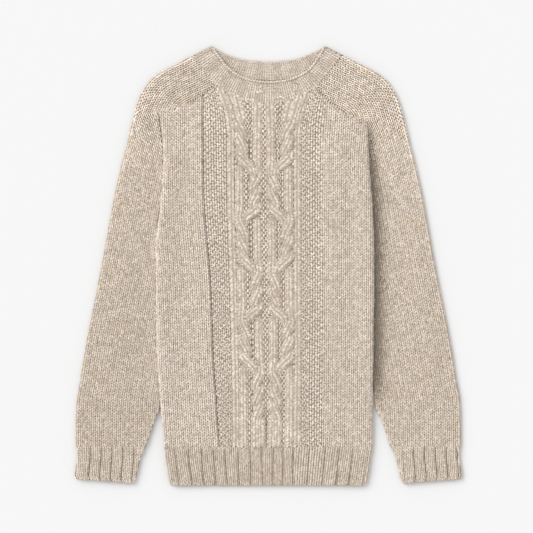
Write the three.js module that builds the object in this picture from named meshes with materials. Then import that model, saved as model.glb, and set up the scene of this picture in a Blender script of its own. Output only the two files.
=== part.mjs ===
// A cable knit raglan sweater in thick wool, laid flat on its back with its sleeves beside it.
// Every knitted piece is a wall of real thickness. X runs across, Y up the body, Z off the surface.
// The origin is under the middle of the laid sweater, on the surface that it lies on.
import * as THREE from 'three';

// Driving sizes in millimetres
const WALL = 3;
const LAYER_GAP = 0.6;
const SEAM_GAP = 0.3;
const BODY_LENGTH = 701.5;
const HEM_DEPTH = 62;
const SIDE_RETURN = 22;
const SIDE_SLOPE = 45;
const PANEL_TOP = 607;
const SLEEVE_LIFT = 2.4;
const CABLE_RAISE = 2.4;
const CABLE_LIFT = 1.3;
const COLUMN_RAISE = 1.4;
const RIB_RAISE = 1.5;

// Two layers of cloth that lie on each other turn into one another on a fold of this radius
const FLAT_HEIGHT = 2 * WALL + LAYER_GAP;
const FOLD_RADIUS = FLAT_HEIGHT / 2;
const FOLD_TURNS = [0.25, 0.5, 0.75].map((part) => part * Math.PI);

// The body: height above the hem, half widths to its two edges, and height of the roll at its edges
const BODY = [
  { up: 0, left: 158, right: 157, roll: 7.6 },
  { up: 40, left: 164, right: 163, roll: 8.4 },
  { up: 74, left: 167, right: 167, roll: 9.4 },
  { up: 135, left: 173, right: 167, roll: 11.5 },
  { up: 231, left: 179, right: 168.5, roll: 13.5 },
  { up: 374, left: 180, right: 169, roll: 14 },
  { up: 455, left: 172, right: 166, roll: 14 },
  { up: 520, left: 168, right: 161, roll: 12.5 },
  { up: 570, left: 172, right: 159, roll: 9 },
  { up: 594, left: 176, right: 158, roll: 7.2 },
];

// The front's columns: distances from the middle of the cable panel to where each kind of knitting
// ends, and where that middle lies across the body
const PANEL = [
  { up: 62, middle: -3, insideB: 4, outsideB: 21, insideA: 24, outsideA: 43,
    column: 45, columnEnd: 52, cornerLeft: 62, cornerRight: 66, mossLeft: 75, mossRight: 88 },
  { up: 135, middle: -4, insideB: 4.6, outsideB: 23, insideA: 25.5, outsideA: 46,
    column: 47.5, columnEnd: 55, cornerLeft: 64, cornerRight: 68, mossLeft: 79, mossRight: 90 },
  { up: 198, middle: -5.5, insideB: 4.6, outsideB: 23.5, insideA: 25.5, outsideA: 46.5,
    column: 48, columnEnd: 56, cornerLeft: 66, cornerRight: 70, mossLeft: 82, mossRight: 92 },
  { up: 310, middle: -6, insideB: 4.6, outsideB: 23.5, insideA: 25.5, outsideA: 46.5,
    column: 48, columnEnd: 56, cornerLeft: 68, cornerRight: 70, mossLeft: 86, mossRight: 93 },
  { up: 455, middle: -6, insideB: 4.6, outsideB: 23.5, insideA: 25.5, outsideA: 46.5,
    column: 48, columnEnd: 56, cornerLeft: 70, cornerRight: 70, mossLeft: 97, mossRight: 93 },
  { up: 545, middle: -6, insideB: 4.6, outsideB: 22, insideA: 26.5, outsideA: 47,
    column: 48.5, columnEnd: 56.5, cornerLeft: 71, cornerRight: 71, mossLeft: 98, mossRight: 94 },
  { up: 575, middle: -6, insideB: 5, outsideB: 20, insideA: 30, outsideA: 50.5,
    column: 52, columnEnd: 60, cornerLeft: 73, cornerRight: 75, mossLeft: 98, mossRight: 96 },
  { up: PANEL_TOP, middle: -6, insideB: 5, outsideB: 18, insideA: 33, outsideA: 58,
    column: 60, columnEnd: 68, cornerLeft: 78.5, cornerRight: 83, mossLeft: 98, mossRight: 98 },
];

// Seam between the front and each sleeve, from the corner at the neck to the underarm
const RAGLAN_LEFT = [
  { across: 84.5, up: 641 },
  { across: 108, up: 622 },
  { across: 137, up: 605 },
  { across: 176, up: 594 },
];
const RAGLAN_RIGHT = [
  { across: 77, up: 637 },
  { across: 96, up: 614 },
  { across: 124, up: 592 },
  { across: 158, up: 580 },
];
// Seam between the back and each sleeve
const RAGLAN_BACK = { corner: 92, cornerUp: 667, end: 176, endUp: 594, endRight: 158, endUpRight: 580 };

// Seam of the neckband and its free edge, on the front and on the back
const NECK_SEAM_FRONT = [
  { across: -84.5, up: 641 },
  { across: -70, up: 630 },
  { across: -57, up: 623 },
  { across: -38, up: 615 },
  { across: 0, up: 609.6 },
  { across: 27, up: 613 },
  { across: 57, up: 624 },
  { across: 77, up: 637 },
];
const NECK_SEAM_BACK = [
  { across: -92, up: 667 },
  { across: -68, up: 656 },
  { across: -39, up: 649 },
  { across: 0, up: 645.6 },
  { across: 39, up: 649 },
  { across: 68, up: 656 },
  { across: 92, up: 667 },
];
const NECK_EDGE_FRONT = [
  { across: -88.8, up: 699 },
  { across: -80.5, up: 687 },
  { across: -71, up: 674.5 },
  { across: -62, up: 665 },
  { across: -45, up: 653.6 },
  { across: -29, up: 648 },
  { across: 0, up: 644.5 },
  { across: 21.5, up: 646 },
  { across: 45.6, up: 653 },
  { across: 62, up: 662 },
  { across: 71, up: 671.5 },
  { across: 80, up: 685 },
  { across: 88.8, up: 699 },
];
const NECK_EDGE_BACK = [
  { across: -88.8, up: 699 },
  { across: -72, up: 691 },
  { across: -58, up: 685 },
  { across: -34, up: 679 },
  { across: 0, up: 676 },
  { across: 34, up: 679 },
  { across: 58, up: 685 },
  { across: 72, up: 691 },
  { across: 88.8, up: 699 },
];

// The sleeve, from the neck to the cuff: the middle of its outer fold, and how far along the raglan seam
// the section ends. Below the underarm: the height of its inner edge. Where it leaves the body: also the
// distance of that edge from the middle.
const SLEEVE = [
  { foldAcross: 116, foldUp: 684.8, raglan: 0 },
  { foldAcross: 139.7, foldUp: 671.9, raglan: 0.18 },
  { foldAcross: 163.3, foldUp: 660, raglan: 0.38 },
  { foldAcross: 186, foldUp: 643.5, raglan: 0.6 },
  { foldAcross: 203.6, foldUp: 615, raglan: 0.82 },
  { foldAcross: 211.7, foldUp: 588.8, raglan: 1 },
  { foldAcross: 221.3, foldUp: 550.5, innerUp: 562 },
  { foldAcross: 237.3, foldUp: 486.5, innerUp: 498 },
  { foldAcross: 250, foldUp: 422.5, innerUp: 432 },
  { foldAcross: 261.4, foldUp: 358.6, innerUp: 366 },
  { foldAcross: 274, foldUp: 294.6, innerUp: 300 },
  { foldAcross: 286.8, foldUp: 230.7, innerUp: 234 },
  { foldAcross: 297.2, foldUp: 166.8, innerUp: 168 },
  { foldAcross: 302.8, foldUp: 134, innerUp: 131 },
  { foldAcross: 304.2, foldUp: 98, innerUp: 100, innerAcross: 182.5 },
  { foldAcross: 304.4, foldUp: 62, innerUp: 62, innerAcross: 195 },
];
const CUFF = [
  { foldAcross: 304.4, foldUp: 62, innerUp: 62, innerAcross: 195 },
  { foldAcross: 304, foldUp: 46, innerUp: 44, innerAcross: 202 },
  { foldAcross: 305, foldUp: 28, innerUp: 24, innerAcross: 208 },
  { foldAcross: 306, foldUp: 10, innerUp: 3, innerAcross: 213 },
];

// Rows of points up the body, closer together where the cables are
const CABLE_ROWS = 60;
const BODY_ROWS = 24;
const PLAIN_ROWS = 4;
const BAND_ROWS = 3;

// Columns of points over the width of one strand pair, and over the top and lower layers of a sleeve
const PAIR_COLUMNS = 6;
const SINGLE_COLUMNS = 3;
const SLEEVE_TOP_COLUMNS = 6;
const SLEEVE_LOWER_COLUMNS = 3;

// The dome of a sleeve rises over its first rows from the neck and sinks over its last ones to the cuff
const DOME_RISE_ROWS = 3;
const DOME_FALL_ROWS = 2;

// A seam that runs slanted to the sections needs a wider gap along them
const SLANTED_GAP = 1.3 * SEAM_GAP;

// Places closer than this share of a band are the same
const SAME_PLACE = 0.001;

// Ribs: how many on the top layer of each band
const HEM_RIBS = 16;
const CUFF_RIBS = 6;
const NECK_RIBS = 8;

// The neckband from its seam to its free edge: where the ribs are raised, and the bound edge's bead
const NECK_PROFILE = [
  { row: 0, ribs: 1, bead: 0 },
  { row: 0.3, ribs: 1, bead: 0 },
  { row: 0.6, ribs: 1, bead: 0 },
  { row: 0.86, ribs: 0, bead: -0.5 },
  { row: 0.93, ribs: 0, bead: 0.7 },
  { row: 1, ribs: 0, bead: 0 },
];
const NECK_RIB_PARTS = [0, 0.12, 0.5, 0.62];
const NECK_RIB_RAISE = 1.2;
const NECK_INSIDE_ROWS = [0, 0.6, 1];

// The cable panel: on each side three strands change places 18 times, from the neck down
const CROSSINGS = 18;
const FIRST_CROSSING = 562;
const CROSSING_PITCH = 26.25;
const STRAND_HALF_WIDTH = 6.4;
const PLACES = { outerA: 41.5, innerA: 31, restA: 39, outerB: 19, innerB: 9.5, restB: 11.5 };

// Smooth reading of a table between its rows, with no overshoot past them
function read(rows, by, column, place) {
  const last = rows.length - 1;
  let row = 0;
  while (row < last - 1 && place > rows[row + 1][by]) row += 1;
  const slope = (from, to) => (rows[to][column] - rows[from][column]) / (rows[to][by] - rows[from][by]);
  const meet = (a, b) => (a * b > 0 ? (2 * a * b) / (a + b) : 0);
  const middle = slope(row, row + 1);
  const start = row > 0 ? meet(slope(row - 1, row), middle) : middle;
  const end = row + 1 < last ? meet(middle, slope(row + 1, row + 2)) : middle;
  const width = rows[row + 1][by] - rows[row][by];
  const t = THREE.MathUtils.clamp((place - rows[row][by]) / width, 0, 1);
  const rise = rows[row + 1][column] - rows[row][column];
  const eased = t * t * (3 - 2 * t);
  return rows[row][column] + rise * eased + width * t * (1 - t) * (start * (1 - t) - end * t);
}

const mix = THREE.MathUtils.lerp;
const ease = (t) => THREE.MathUtils.smoothstep(t, 0, 1);
const spaced = (count, from = 0, to = 1) => (
  Array.from({ length: count + 1 }, (_, k) => mix(from, to, k / count))
);

// Triangles of one closed wall. A surface is a list of strips, and a strip is a list of columns of
// points, each column with its own place along the section, and each point with its own along the piece.
// Columns with different numbers of points are joined by triangles between them.
class Wall {
  constructor() {
    this.points = [];
    this.faces = [];
  }

  add(points) {
    return points.map((point) => this.points.push(point.x, point.y, point.z) / 3 - 1);
  }

  // Joins two runs of points that lie side by side, whatever the number of points in each
  join(first, firstAt, second, secondAt, turned) {
    let a = 0;
    let b = 0;
    while (a < first.length - 1 || b < second.length - 1) {
      const secondDone = b === second.length - 1;
      const stepFirst = secondDone || (a < first.length - 1 && firstAt[a + 1] <= secondAt[b + 1]);
      const next = stepFirst ? first[a + 1] : second[b + 1];
      const face = [first[a], second[b], next];
      this.faces.push(...(turned ? face.reverse() : face));
      if (stepFirst) a += 1;
      else b += 1;
    }
  }

  surface(columns, turned) {
    const runs = columns.map(({ at, rows, points }) => ({ at, rows, ids: this.add(points) }));
    for (let k = 0; k < runs.length - 1; k += 1) {
      this.join(runs[k].ids, runs[k].rows, runs[k + 1].ids, runs[k + 1].rows, turned);
    }
    return runs;
  }

  // Closes the wall between its outer and inner surfaces; a ring has no side edges
  close(outer, inner, ring) {
    const edge = (runs, pick) => [runs.map((run) => pick(run.ids)), runs.map((run) => run.at)];
    if (ring) {
      const wrap = (runs) => [...runs, { ...runs[0], at: runs.at(-1).at + 1 }];
      this.join(outer.at(-1).ids, outer.at(-1).rows, outer[0].ids, outer[0].rows, false);
      this.join(inner.at(-1).ids, inner.at(-1).rows, inner[0].ids, inner[0].rows, true);
      outer = wrap(outer);
      inner = wrap(inner);
    } else {
      this.join(outer[0].ids, outer[0].rows, inner[0].ids, inner[0].rows, true);
      this.join(outer.at(-1).ids, outer.at(-1).rows, inner.at(-1).ids, inner.at(-1).rows, false);
    }
    this.join(...edge(outer, (ids) => ids[0]), ...edge(inner, (ids) => ids[0]), false);
    this.join(...edge(outer, (ids) => ids.at(-1)), ...edge(inner, (ids) => ids.at(-1)), true);
  }

  geometry(mirrored) {
    const geometry = new THREE.BufferGeometry();
    const flat = this.points.map((value, k) => (mirrored && k % 3 === 0 ? -value : value));
    const faces = [];
    for (let k = 0; k < this.faces.length; k += 3) {
      const [a, b, c] = this.faces.slice(k, k + 3);
      faces.push(...(mirrored ? [a, c, b] : [a, b, c]));
    }
    geometry.setAttribute('position', new THREE.Float32BufferAttribute(flat, 3));
    geometry.setIndex(faces);
    geometry.computeVertexNormals();
    return geometry;
  }
}

// A wall from its section: each outer column says where its outer and inner points lie at a row
function wallOf({ outer, inner, ring = false, mirrored = false }) {
  const wall = new Wall();
  const column = (lane, side) => ({
    at: lane.at,
    rows: lane.rows,
    points: lane.rows.map((row) => lane.point(row)[side]),
  });
  const outside = wall.surface(outer.map((lane) => column(lane, 'outer')), false);
  const inside = wall.surface(inner.map((lane) => column(lane, 'inner')), true);
  wall.close(outside, inside, ring);
  return wall.geometry(mirrored);
}

// Where the body's edge lies, and how high its roll is
const sideName = (side) => (side < 0 ? 'left' : 'right');
const bodyEdge = (side, up) => read(BODY, 'up', sideName(side), up);
const rollHeight = (up) => read(BODY, 'up', 'roll', up);

// The front's top edge follows the two raglan seams and the neckband's seam
const raglan = (side) => (side < 0 ? RAGLAN_LEFT : RAGLAN_RIGHT);
function frontTop(x) {
  const side = Math.sign(x) || 1;
  const seam = raglan(side);
  const [table, across] = Math.abs(x) > seam[0].across ? [seam, Math.abs(x)] : [NECK_SEAM_FRONT, x];
  return read(table, 'across', 'up', across);
}
const underarm = (side) => raglan(side).at(-1).up;
const backEnd = (side) => (side < 0
  ? { across: RAGLAN_BACK.end, up: RAGLAN_BACK.endUp }
  : { across: RAGLAN_BACK.endRight, up: RAGLAN_BACK.endUpRight });
function backTop(x) {
  const end = backEnd(Math.sign(x));
  const part = (Math.abs(x) - RAGLAN_BACK.corner) / (end.across - RAGLAN_BACK.corner);
  return part > 0 ? mix(RAGLAN_BACK.cornerUp, end.up, part) : read(NECK_SEAM_BACK, 'across', 'up', x);
}

// Places across the cable panel, on fixed numbers that the table spreads out at each height
const WALES = ['insideB', 'outsideB', 'insideA', 'outsideA', 'column', 'columnEnd', 'corner', 'moss'];
const WALE_PLACES = [4.6, 23.5, 25.5, 46.5, 48, 56, 70, 93];
const [INSIDE_B, OUTSIDE_B, INSIDE_A, OUTSIDE_A, COLUMN, COLUMN_END, CORNER, MOSS_END] = WALE_PLACES;
function waleAcross(side, place, up) {
  const name = (key) => (key === 'corner' || key === 'moss' ? key + (side < 0 ? 'Left' : 'Right') : key);
  const marks = [0, ...WALE_PLACES];
  const found = marks.findIndex((mark, k) => k > 0 && place <= mark);
  const from = found > 1 ? read(PANEL, 'up', name(WALES[found - 2]), up) : 0;
  const to = read(PANEL, 'up', name(WALES[found - 1]), up);
  const part = (place - marks[found - 1]) / (marks[found] - marks[found - 1]);
  return read(PANEL, 'up', 'middle', up) + side * mix(from, to, part);
}

// The three strands of one side, each with its place between crossings and which one lies on top
function strandPaths() {
  const outerA = { moves: [], place: 'outerA' };
  const innerA = { moves: [], place: 'innerA' };
  const single = { moves: [], place: 'restB' };
  const strands = [outerA, innerA, single];
  let inA = [outerA, innerA];
  let inB = [single];
  const move = (strand, place, over) => {
    strand.moves.push({ from: strand.place, to: place, over });
    strand.place = place;
  };
  const twistA = () => {
    const [outer, inner] = inA;
    move(outer, 'innerA', 1);
    move(inner, 'outerA', -1);
    move(inB[0], 'restB', 0);
    inA = [inner, outer];
  };
  const passToB = () => {
    const [outer, inner] = inA;
    move(outer, 'outerB', 1);
    move(inner, 'restA', -1);
    move(inB[0], 'innerB', 0);
    inB = [outer, inB[0]];
    inA = [inner];
  };
  const twistB = () => {
    const [outer, inner] = inB;
    move(inner, 'outerB', 1);
    move(outer, 'innerB', -1);
    move(inA[0], 'restA', 0);
    inB = [inner, outer];
  };
  const passToA = () => {
    const [outer, inner] = inB;
    move(inner, 'innerA', 1);
    move(outer, 'restB', -1);
    move(inA[0], 'outerA', 0);
    inA = [inA[0], inner];
    inB = [outer];
  };
  const repeat = [twistA, twistA, passToB, twistB, twistB, passToA];
  for (let k = 0; k < CROSSINGS - 1; k += 1) repeat[k % repeat.length]();
  twistB();
  return strands;
}
const STRANDS = strandPaths();

// Height of the cable panel above its ground
function cableRaise(place, up) {
  const counted = (FIRST_CROSSING - up) / CROSSING_PITCH + 0.5;
  const position = THREE.MathUtils.clamp(counted, 0, CROSSINGS - SAME_PLACE);
  const step = Math.floor(position);
  const part = position - step;
  let raise = 0;
  for (const strand of STRANDS) {
    const { from, to, over } = strand.moves[step];
    const centre = mix(PLACES[from], PLACES[to], ease(part));
    const off = (place - centre) / STRAND_HALF_WIDTH;
    if (Math.abs(off) < 1) {
      const crown = Math.sqrt(1 - off * off);
      raise = Math.max(raise, crown * (CABLE_RAISE + over * CABLE_LIFT * Math.sin(Math.PI * part)));
    }
  }
  return raise;
}

function panelRaise(place, up) {
  if (place > COLUMN && place < COLUMN_END) return COLUMN_RAISE;
  return place < OUTSIDE_A ? cableRaise(place, up) : 0;
}

// Raised ribs with a narrow groove between them, along a width that is cut into whole ribs
const RIB_PARTS = [0, 0.2, 0.34, 0.86];
const RIB_HEIGHTS = [0.35, 0, 1, 1];
const ribRaise = (part) => RIB_RAISE * (RIB_HEIGHTS[RIB_PARTS.indexOf(part)] ?? 0);

// The side of the body: cloth that rises from the flat panel into a loose roll, turns over it and comes
// back on the surface. 'inward' is the distance in from the body's edge.
const SLOPE_PARTS = [0, 0.36, 0.7];
const ROLL_TURNS = spaced(4, 0, Math.PI);
function sideLanes(side, rows, place) {
  const section = (inward, height, normalOut, normalUp, bottom) => (row) => {
    const spot = place(row);
    const level = spot.y(underarm(side));
    const x = (distance) => side * (bodyEdge(side, level) - distance);
    const radius = rollHeight(level) / 2;
    const from = { in: inward(radius), z: height(radius) };
    const top = bottom ? backTop(x(from.in)) : frontTop(x(from.in));
    const y = spot.y(top);
    return {
      outer: new THREE.Vector3(x(from.in), y, from.z),
      inner: new THREE.Vector3(x(from.in + WALL * normalOut), y, from.z - WALL * normalUp),
    };
  };
  const lanes = SLOPE_PARTS.map((part) => ({
    rows,
    point: section(
      (radius) => mix(SIDE_SLOPE, radius, part),
      (radius) => mix(FLAT_HEIGHT, 2 * radius, ease(part)),
      0, 1, false,
    ),
  }));
  for (const turn of ROLL_TURNS) {
    lanes.push({
      rows,
      point: section(
        (radius) => radius * (1 - Math.sin(turn)),
        (radius) => radius * (1 + Math.cos(turn)),
        Math.sin(turn), Math.cos(turn), turn === Math.PI,
      ),
    });
  }
  lanes.push({ rows, point: section(() => SIDE_RETURN, () => 0, 0, -1, true) });
  return lanes;
}

// The front panel or its hem: lanes from its left side seam, round the roll, across and down again
function frontPiece({ place, middleLanes, sideRows }) {
  const left = sideLanes(-1, sideRows, place).reverse();
  const right = sideLanes(1, sideRows, place);
  return [...left, ...middleLanes, ...right].map((lane, k) => ({ ...lane, at: k }));
}

function flatPoint(x, y, raise) {
  return {
    outer: new THREE.Vector3(x, y, FLAT_HEIGHT + raise),
    inner: new THREE.Vector3(x, y, FLAT_HEIGHT - WALL),
  };
}

// Keeps every lane whose place is named and thins the rows, for the plain inside of a wall
function plainInside(lanes, keep, rows) {
  return lanes.filter((lane) => keep(lane)).map((lane) => ({ ...lane, rows }));
}

function makeFront() {
  const start = HEM_DEPTH + SEAM_GAP;
  const place = (row) => ({
    up: mix(start, PANEL_TOP, row),
    y: (top) => mix(start, top, row),
  });
  const cableRows = spaced(CABLE_ROWS);
  const sideRows = spaced(BODY_ROWS);
  const lane = (side, mark, rows, kept) => ({
    rows,
    kept,
    point: (row) => {
      const { up, y } = place(row);
      const x = waleAcross(side, mark, up);
      return flatPoint(x, y(frontTop(x)), panelRaise(mark, up));
    },
  });
  const plain = (side, part) => ({
    rows: sideRows,
    kept: true,
    point: (row) => {
      const { up, y } = place(row);
      const from = Math.abs(waleAcross(side, MOSS_END, up));
      const x = side * mix(from, bodyEdge(side, y(underarm(side))) - SIDE_SLOPE, part);
      return flatPoint(x, y(frontTop(x)), 0);
    },
  });
  const cableLanes = (side, count, from, to) => (
    spaced(count, from, to).map((mark, k) => lane(side, mark, cableRows, k % 3 === 0))
  );
  const half = (side) => [
    ...cableLanes(side, PAIR_COLUMNS, INSIDE_B, OUTSIDE_B),
    ...cableLanes(side, PAIR_COLUMNS, INSIDE_A, OUTSIDE_A),
    ...cableLanes(side, SINGLE_COLUMNS, COLUMN, COLUMN_END),
    lane(side, CORNER, sideRows, true),
    lane(side, MOSS_END, sideRows, true),
    plain(side, 0.5),
  ];
  const middleLanes = [...half(-1).reverse(), lane(1, 0, cableRows, true), ...half(1)];
  const outer = frontPiece({ place, middleLanes, sideRows });
  return wallOf({ outer, inner: plainInside(outer, (l) => l.kept !== false, sideRows) });
}

function makeFrontHem() {
  const end = HEM_DEPTH;
  const place = (row) => ({ up: mix(0, end, row), y: () => mix(0, end, row) });
  const rows = spaced(BAND_ROWS);
  const middleLanes = [];
  for (let rib = 0; rib < HEM_RIBS; rib += 1) {
    for (const part of RIB_PARTS) {
      const share = (rib + part) / HEM_RIBS;
      if (share === 0) continue;
      middleLanes.push({
        rows,
        kept: part === 0,
        point: (row) => {
          const { up, y } = place(row);
          const from = SIDE_SLOPE - bodyEdge(-1, up);
          const to = bodyEdge(1, up) - SIDE_SLOPE;
          return flatPoint(mix(from, to, share), y(), ribRaise(part));
        },
      });
    }
  }
  const outer = frontPiece({ place, middleLanes, sideRows: rows });
  return wallOf({ outer, inner: plainInside(outer, (l) => l.kept !== false, rows) });
}

// The back and its hem lie flat on the surface, between the two side returns of the front. The back's
// columns below the neck meet the neckband's sections on the same points.
function backPiece(from, to) {
  const rows = spaced(BODY_ROWS);
  const sections = spaced(NECK_RIBS, 0, SLEEVE[0].foldAcross);
  const atNeck = sections.filter((x) => x < RAGLAN_BACK.corner);
  const lane = (side, across, part) => ({
    rows,
    point: (row) => {
      const level = mix(from, Math.min(to, underarm(side)), row);
      const edge = bodyEdge(side, level) - SIDE_RETURN - SEAM_GAP;
      const x = side * mix(across, edge, part);
      const y = mix(from, to > PANEL_TOP ? backTop(x) : to, row);
      return { outer: new THREE.Vector3(x, y, 0), inner: new THREE.Vector3(x, y, WALL) };
    },
  });
  const half = (side) => [
    ...atNeck.slice(1).map((across) => lane(side, across, 0)),
    ...[0, 0.5, 1].map((part) => lane(side, RAGLAN_BACK.corner, part)),
  ];
  const lanes = [...half(1).reverse(), lane(1, 0, 0), ...half(-1)].map((one, k) => ({ ...one, at: k }));
  const edges = new Set([0, lanes.length - 1]);
  const thinned = lanes.map((one, k) => (edges.has(k) ? one : { ...one, rows: spaced(PLAIN_ROWS) }));
  return wallOf({ outer: thinned, inner: thinned });
}

// A flattened tube of cloth with one fold and a seam along its inner edge, on the right of the body:
// a sleeve or a cuff. Built by its distance from the middle, and mirrored for the left.
function tubePiece({ side, rows, frame, layerParts, raise, kept }) {
  const layer = (up, part) => ({
    rows,
    kept: kept(part),
    point: (row) => {
      const { fold, inner, lift } = frame(row, up);
      const reach = new THREE.Vector2().subVectors(inner, fold);
      const run = reach.length() - FOLD_RADIUS;
      const spot = fold.clone().addScaledVector(reach.normalize(), run * part);
      const sag = up > 0 ? lift * Math.sin(Math.PI * part) ** 2 : 0;
      const z = FOLD_RADIUS * (1 + up) + sag;
      const top = up > 0 ? raise(part) : 0;
      return {
        outer: new THREE.Vector3(spot.x, spot.y, z + top),
        inner: new THREE.Vector3(spot.x, spot.y, z - WALL * up),
      };
    },
  });
  // The cloth turns down to the underarm seam, or runs flat to the raglan seam
  const nose = (up, part) => ({
    rows,
    kept: true,
    point: (row) => {
      const { fold, inner, closed } = frame(row, up);
      const reach = new THREE.Vector2().subVectors(inner, fold);
      const run = reach.length() - FOLD_RADIUS;
      reach.normalize();
      const turn = (part * closed * Math.PI) / 2;
      const out = FOLD_RADIUS * mix(part, Math.sin(turn), closed);
      const spot = (distance) => fold.clone().addScaledVector(reach, run + distance);
      const outer = spot(out);
      const inside = spot(out - WALL * Math.sin(turn));
      const z = FOLD_RADIUS * (1 + up * Math.cos(turn)) + (up * closed * part * SEAM_GAP) / 2;
      return {
        outer: new THREE.Vector3(outer.x, outer.y, z),
        inner: new THREE.Vector3(inside.x, inside.y, z - WALL * up * Math.cos(turn)),
      };
    },
  });
  const turned = (turn) => ({
    rows,
    kept: true,
    point: (row) => {
      const { fold, out } = frame(row, 1);
      const at = (radius) => new THREE.Vector3(
        fold.x + out.x * radius * Math.sin(turn),
        fold.y + out.y * radius * Math.sin(turn),
        FOLD_RADIUS + radius * Math.cos(turn),
      );
      return { outer: at(FOLD_RADIUS), inner: at(FOLD_RADIUS - WALL) };
    },
  });
  const lanes = [
    nose(-1, 1),
    nose(-1, 0.5),
    ...layerParts.bottom.toReversed().map((part) => layer(-1, part)),
    ...FOLD_TURNS.toReversed().map((turn) => turned(turn)),
    ...layerParts.top.map((part) => layer(1, part)),
    nose(1, 0.5),
    nose(1, 1),
  ].map((lane, k) => ({ ...lane, at: k }));
  return wallOf({
    outer: lanes,
    inner: lanes.filter((lane) => lane.kept),
    mirrored: side > 0,
  });
}

// The sleeve's inner edge lies against the body's roll, just clear of it
function besideBody(side, up) {
  const radius = rollHeight(up) / 2;
  const apart = radius + FOLD_RADIUS + SEAM_GAP;
  const level = radius - FOLD_RADIUS;
  return bodyEdge(side, up) - radius + Math.sqrt(apart * apart - level * level) - FOLD_RADIUS;
}

// One row of a sleeve or cuff table, read between its rows: 'place' counts from 0 at the first
function tubeFrame(table, side, place, up) {
  const rows = table.map((row, k) => {
    const tucked = row.innerAcross === undefined;
    if (row.raglan === undefined) {
      return { ...row, k, inner: tucked ? besideBody(side, row.innerUp) : row.innerAcross, closed: 1 };
    }
    const seam = raglan(side);
    const end = up > 0 ? seam.at(-1) : backEnd(side);
    const start = up > 0 ? seam[0].across : RAGLAN_BACK.corner;
    const across = mix(start, end.across, row.raglan);
    const height = up > 0 ? read(seam, 'across', 'up', across) : backTop(side * across);
    const closed = row.raglan === 1 ? 1 : 0;
    const innerUp = height + SEAM_GAP * row.raglan;
    return { ...row, k, inner: across + closed * SEAM_GAP, innerUp, closed };
  });
  const at = (column) => read(rows, 'k', column, place);
  const closed = at('closed');
  const fold = new THREE.Vector2(-at('foldAcross'), at('foldUp'));
  const inner = new THREE.Vector2(-at('inner'), at('innerUp'));
  const gap = inner.clone().sub(fold).setLength(SLANTED_GAP * (1 - closed));
  return { fold, inner: inner.sub(gap), closed };
}

function makeSleeve(side) {
  const last = SLEEVE.length - 1;
  const frame = (row, up) => {
    const place = last * (1 - row);
    const here = tubeFrame(SLEEVE, side, place, up);
    const front = tubeFrame(SLEEVE, side, place, 1).inner;
    const back = tubeFrame(SLEEVE, side, place, -1).inner;
    const out = here.fold.clone().sub(front.add(back).multiplyScalar(0.5)).normalize();
    const lift = SLEEVE_LIFT * ease(place / DOME_RISE_ROWS) * ease((last - place) / DOME_FALL_ROWS);
    return { ...here, out, lift };
  };
  return tubePiece({
    side,
    rows: spaced(2 * last),
    frame,
    layerParts: { top: spaced(SLEEVE_TOP_COLUMNS), bottom: spaced(SLEEVE_LOWER_COLUMNS) },
    raise: () => 0,
    kept: () => true,
  });
}

function makeCuff(side) {
  const last = CUFF.length - 1;
  const frame = (row, up) => {
    const here = tubeFrame(CUFF, side, last * (1 - row), up);
    const out = here.fold.clone().sub(here.inner).normalize();
    here.fold.y -= row === 1 ? SEAM_GAP : 0;
    here.inner.y -= row === 1 ? SEAM_GAP : 0;
    return { ...here, out, lift: 0 };
  };
  const top = [];
  for (let rib = 0; rib < CUFF_RIBS; rib += 1) {
    for (const part of RIB_PARTS) top.push((rib + part) / CUFF_RIBS);
  }
  return tubePiece({
    side,
    rows: spaced(BAND_ROWS),
    frame,
    layerParts: { top: [...top, 1], bottom: spaced(SLEEVE_LOWER_COLUMNS) },
    raise: (part) => {
      const rib = part * CUFF_RIBS;
      const share = Math.round((rib - Math.floor(rib + SAME_PLACE)) * 100) / 100;
      return part > 0 && part < 1 - SAME_PLACE ? ribRaise(share) : 0;
    },
    kept: (part) => Math.abs((part * SLEEVE_LOWER_COLUMNS) % 1) < SAME_PLACE,
  });
}

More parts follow.
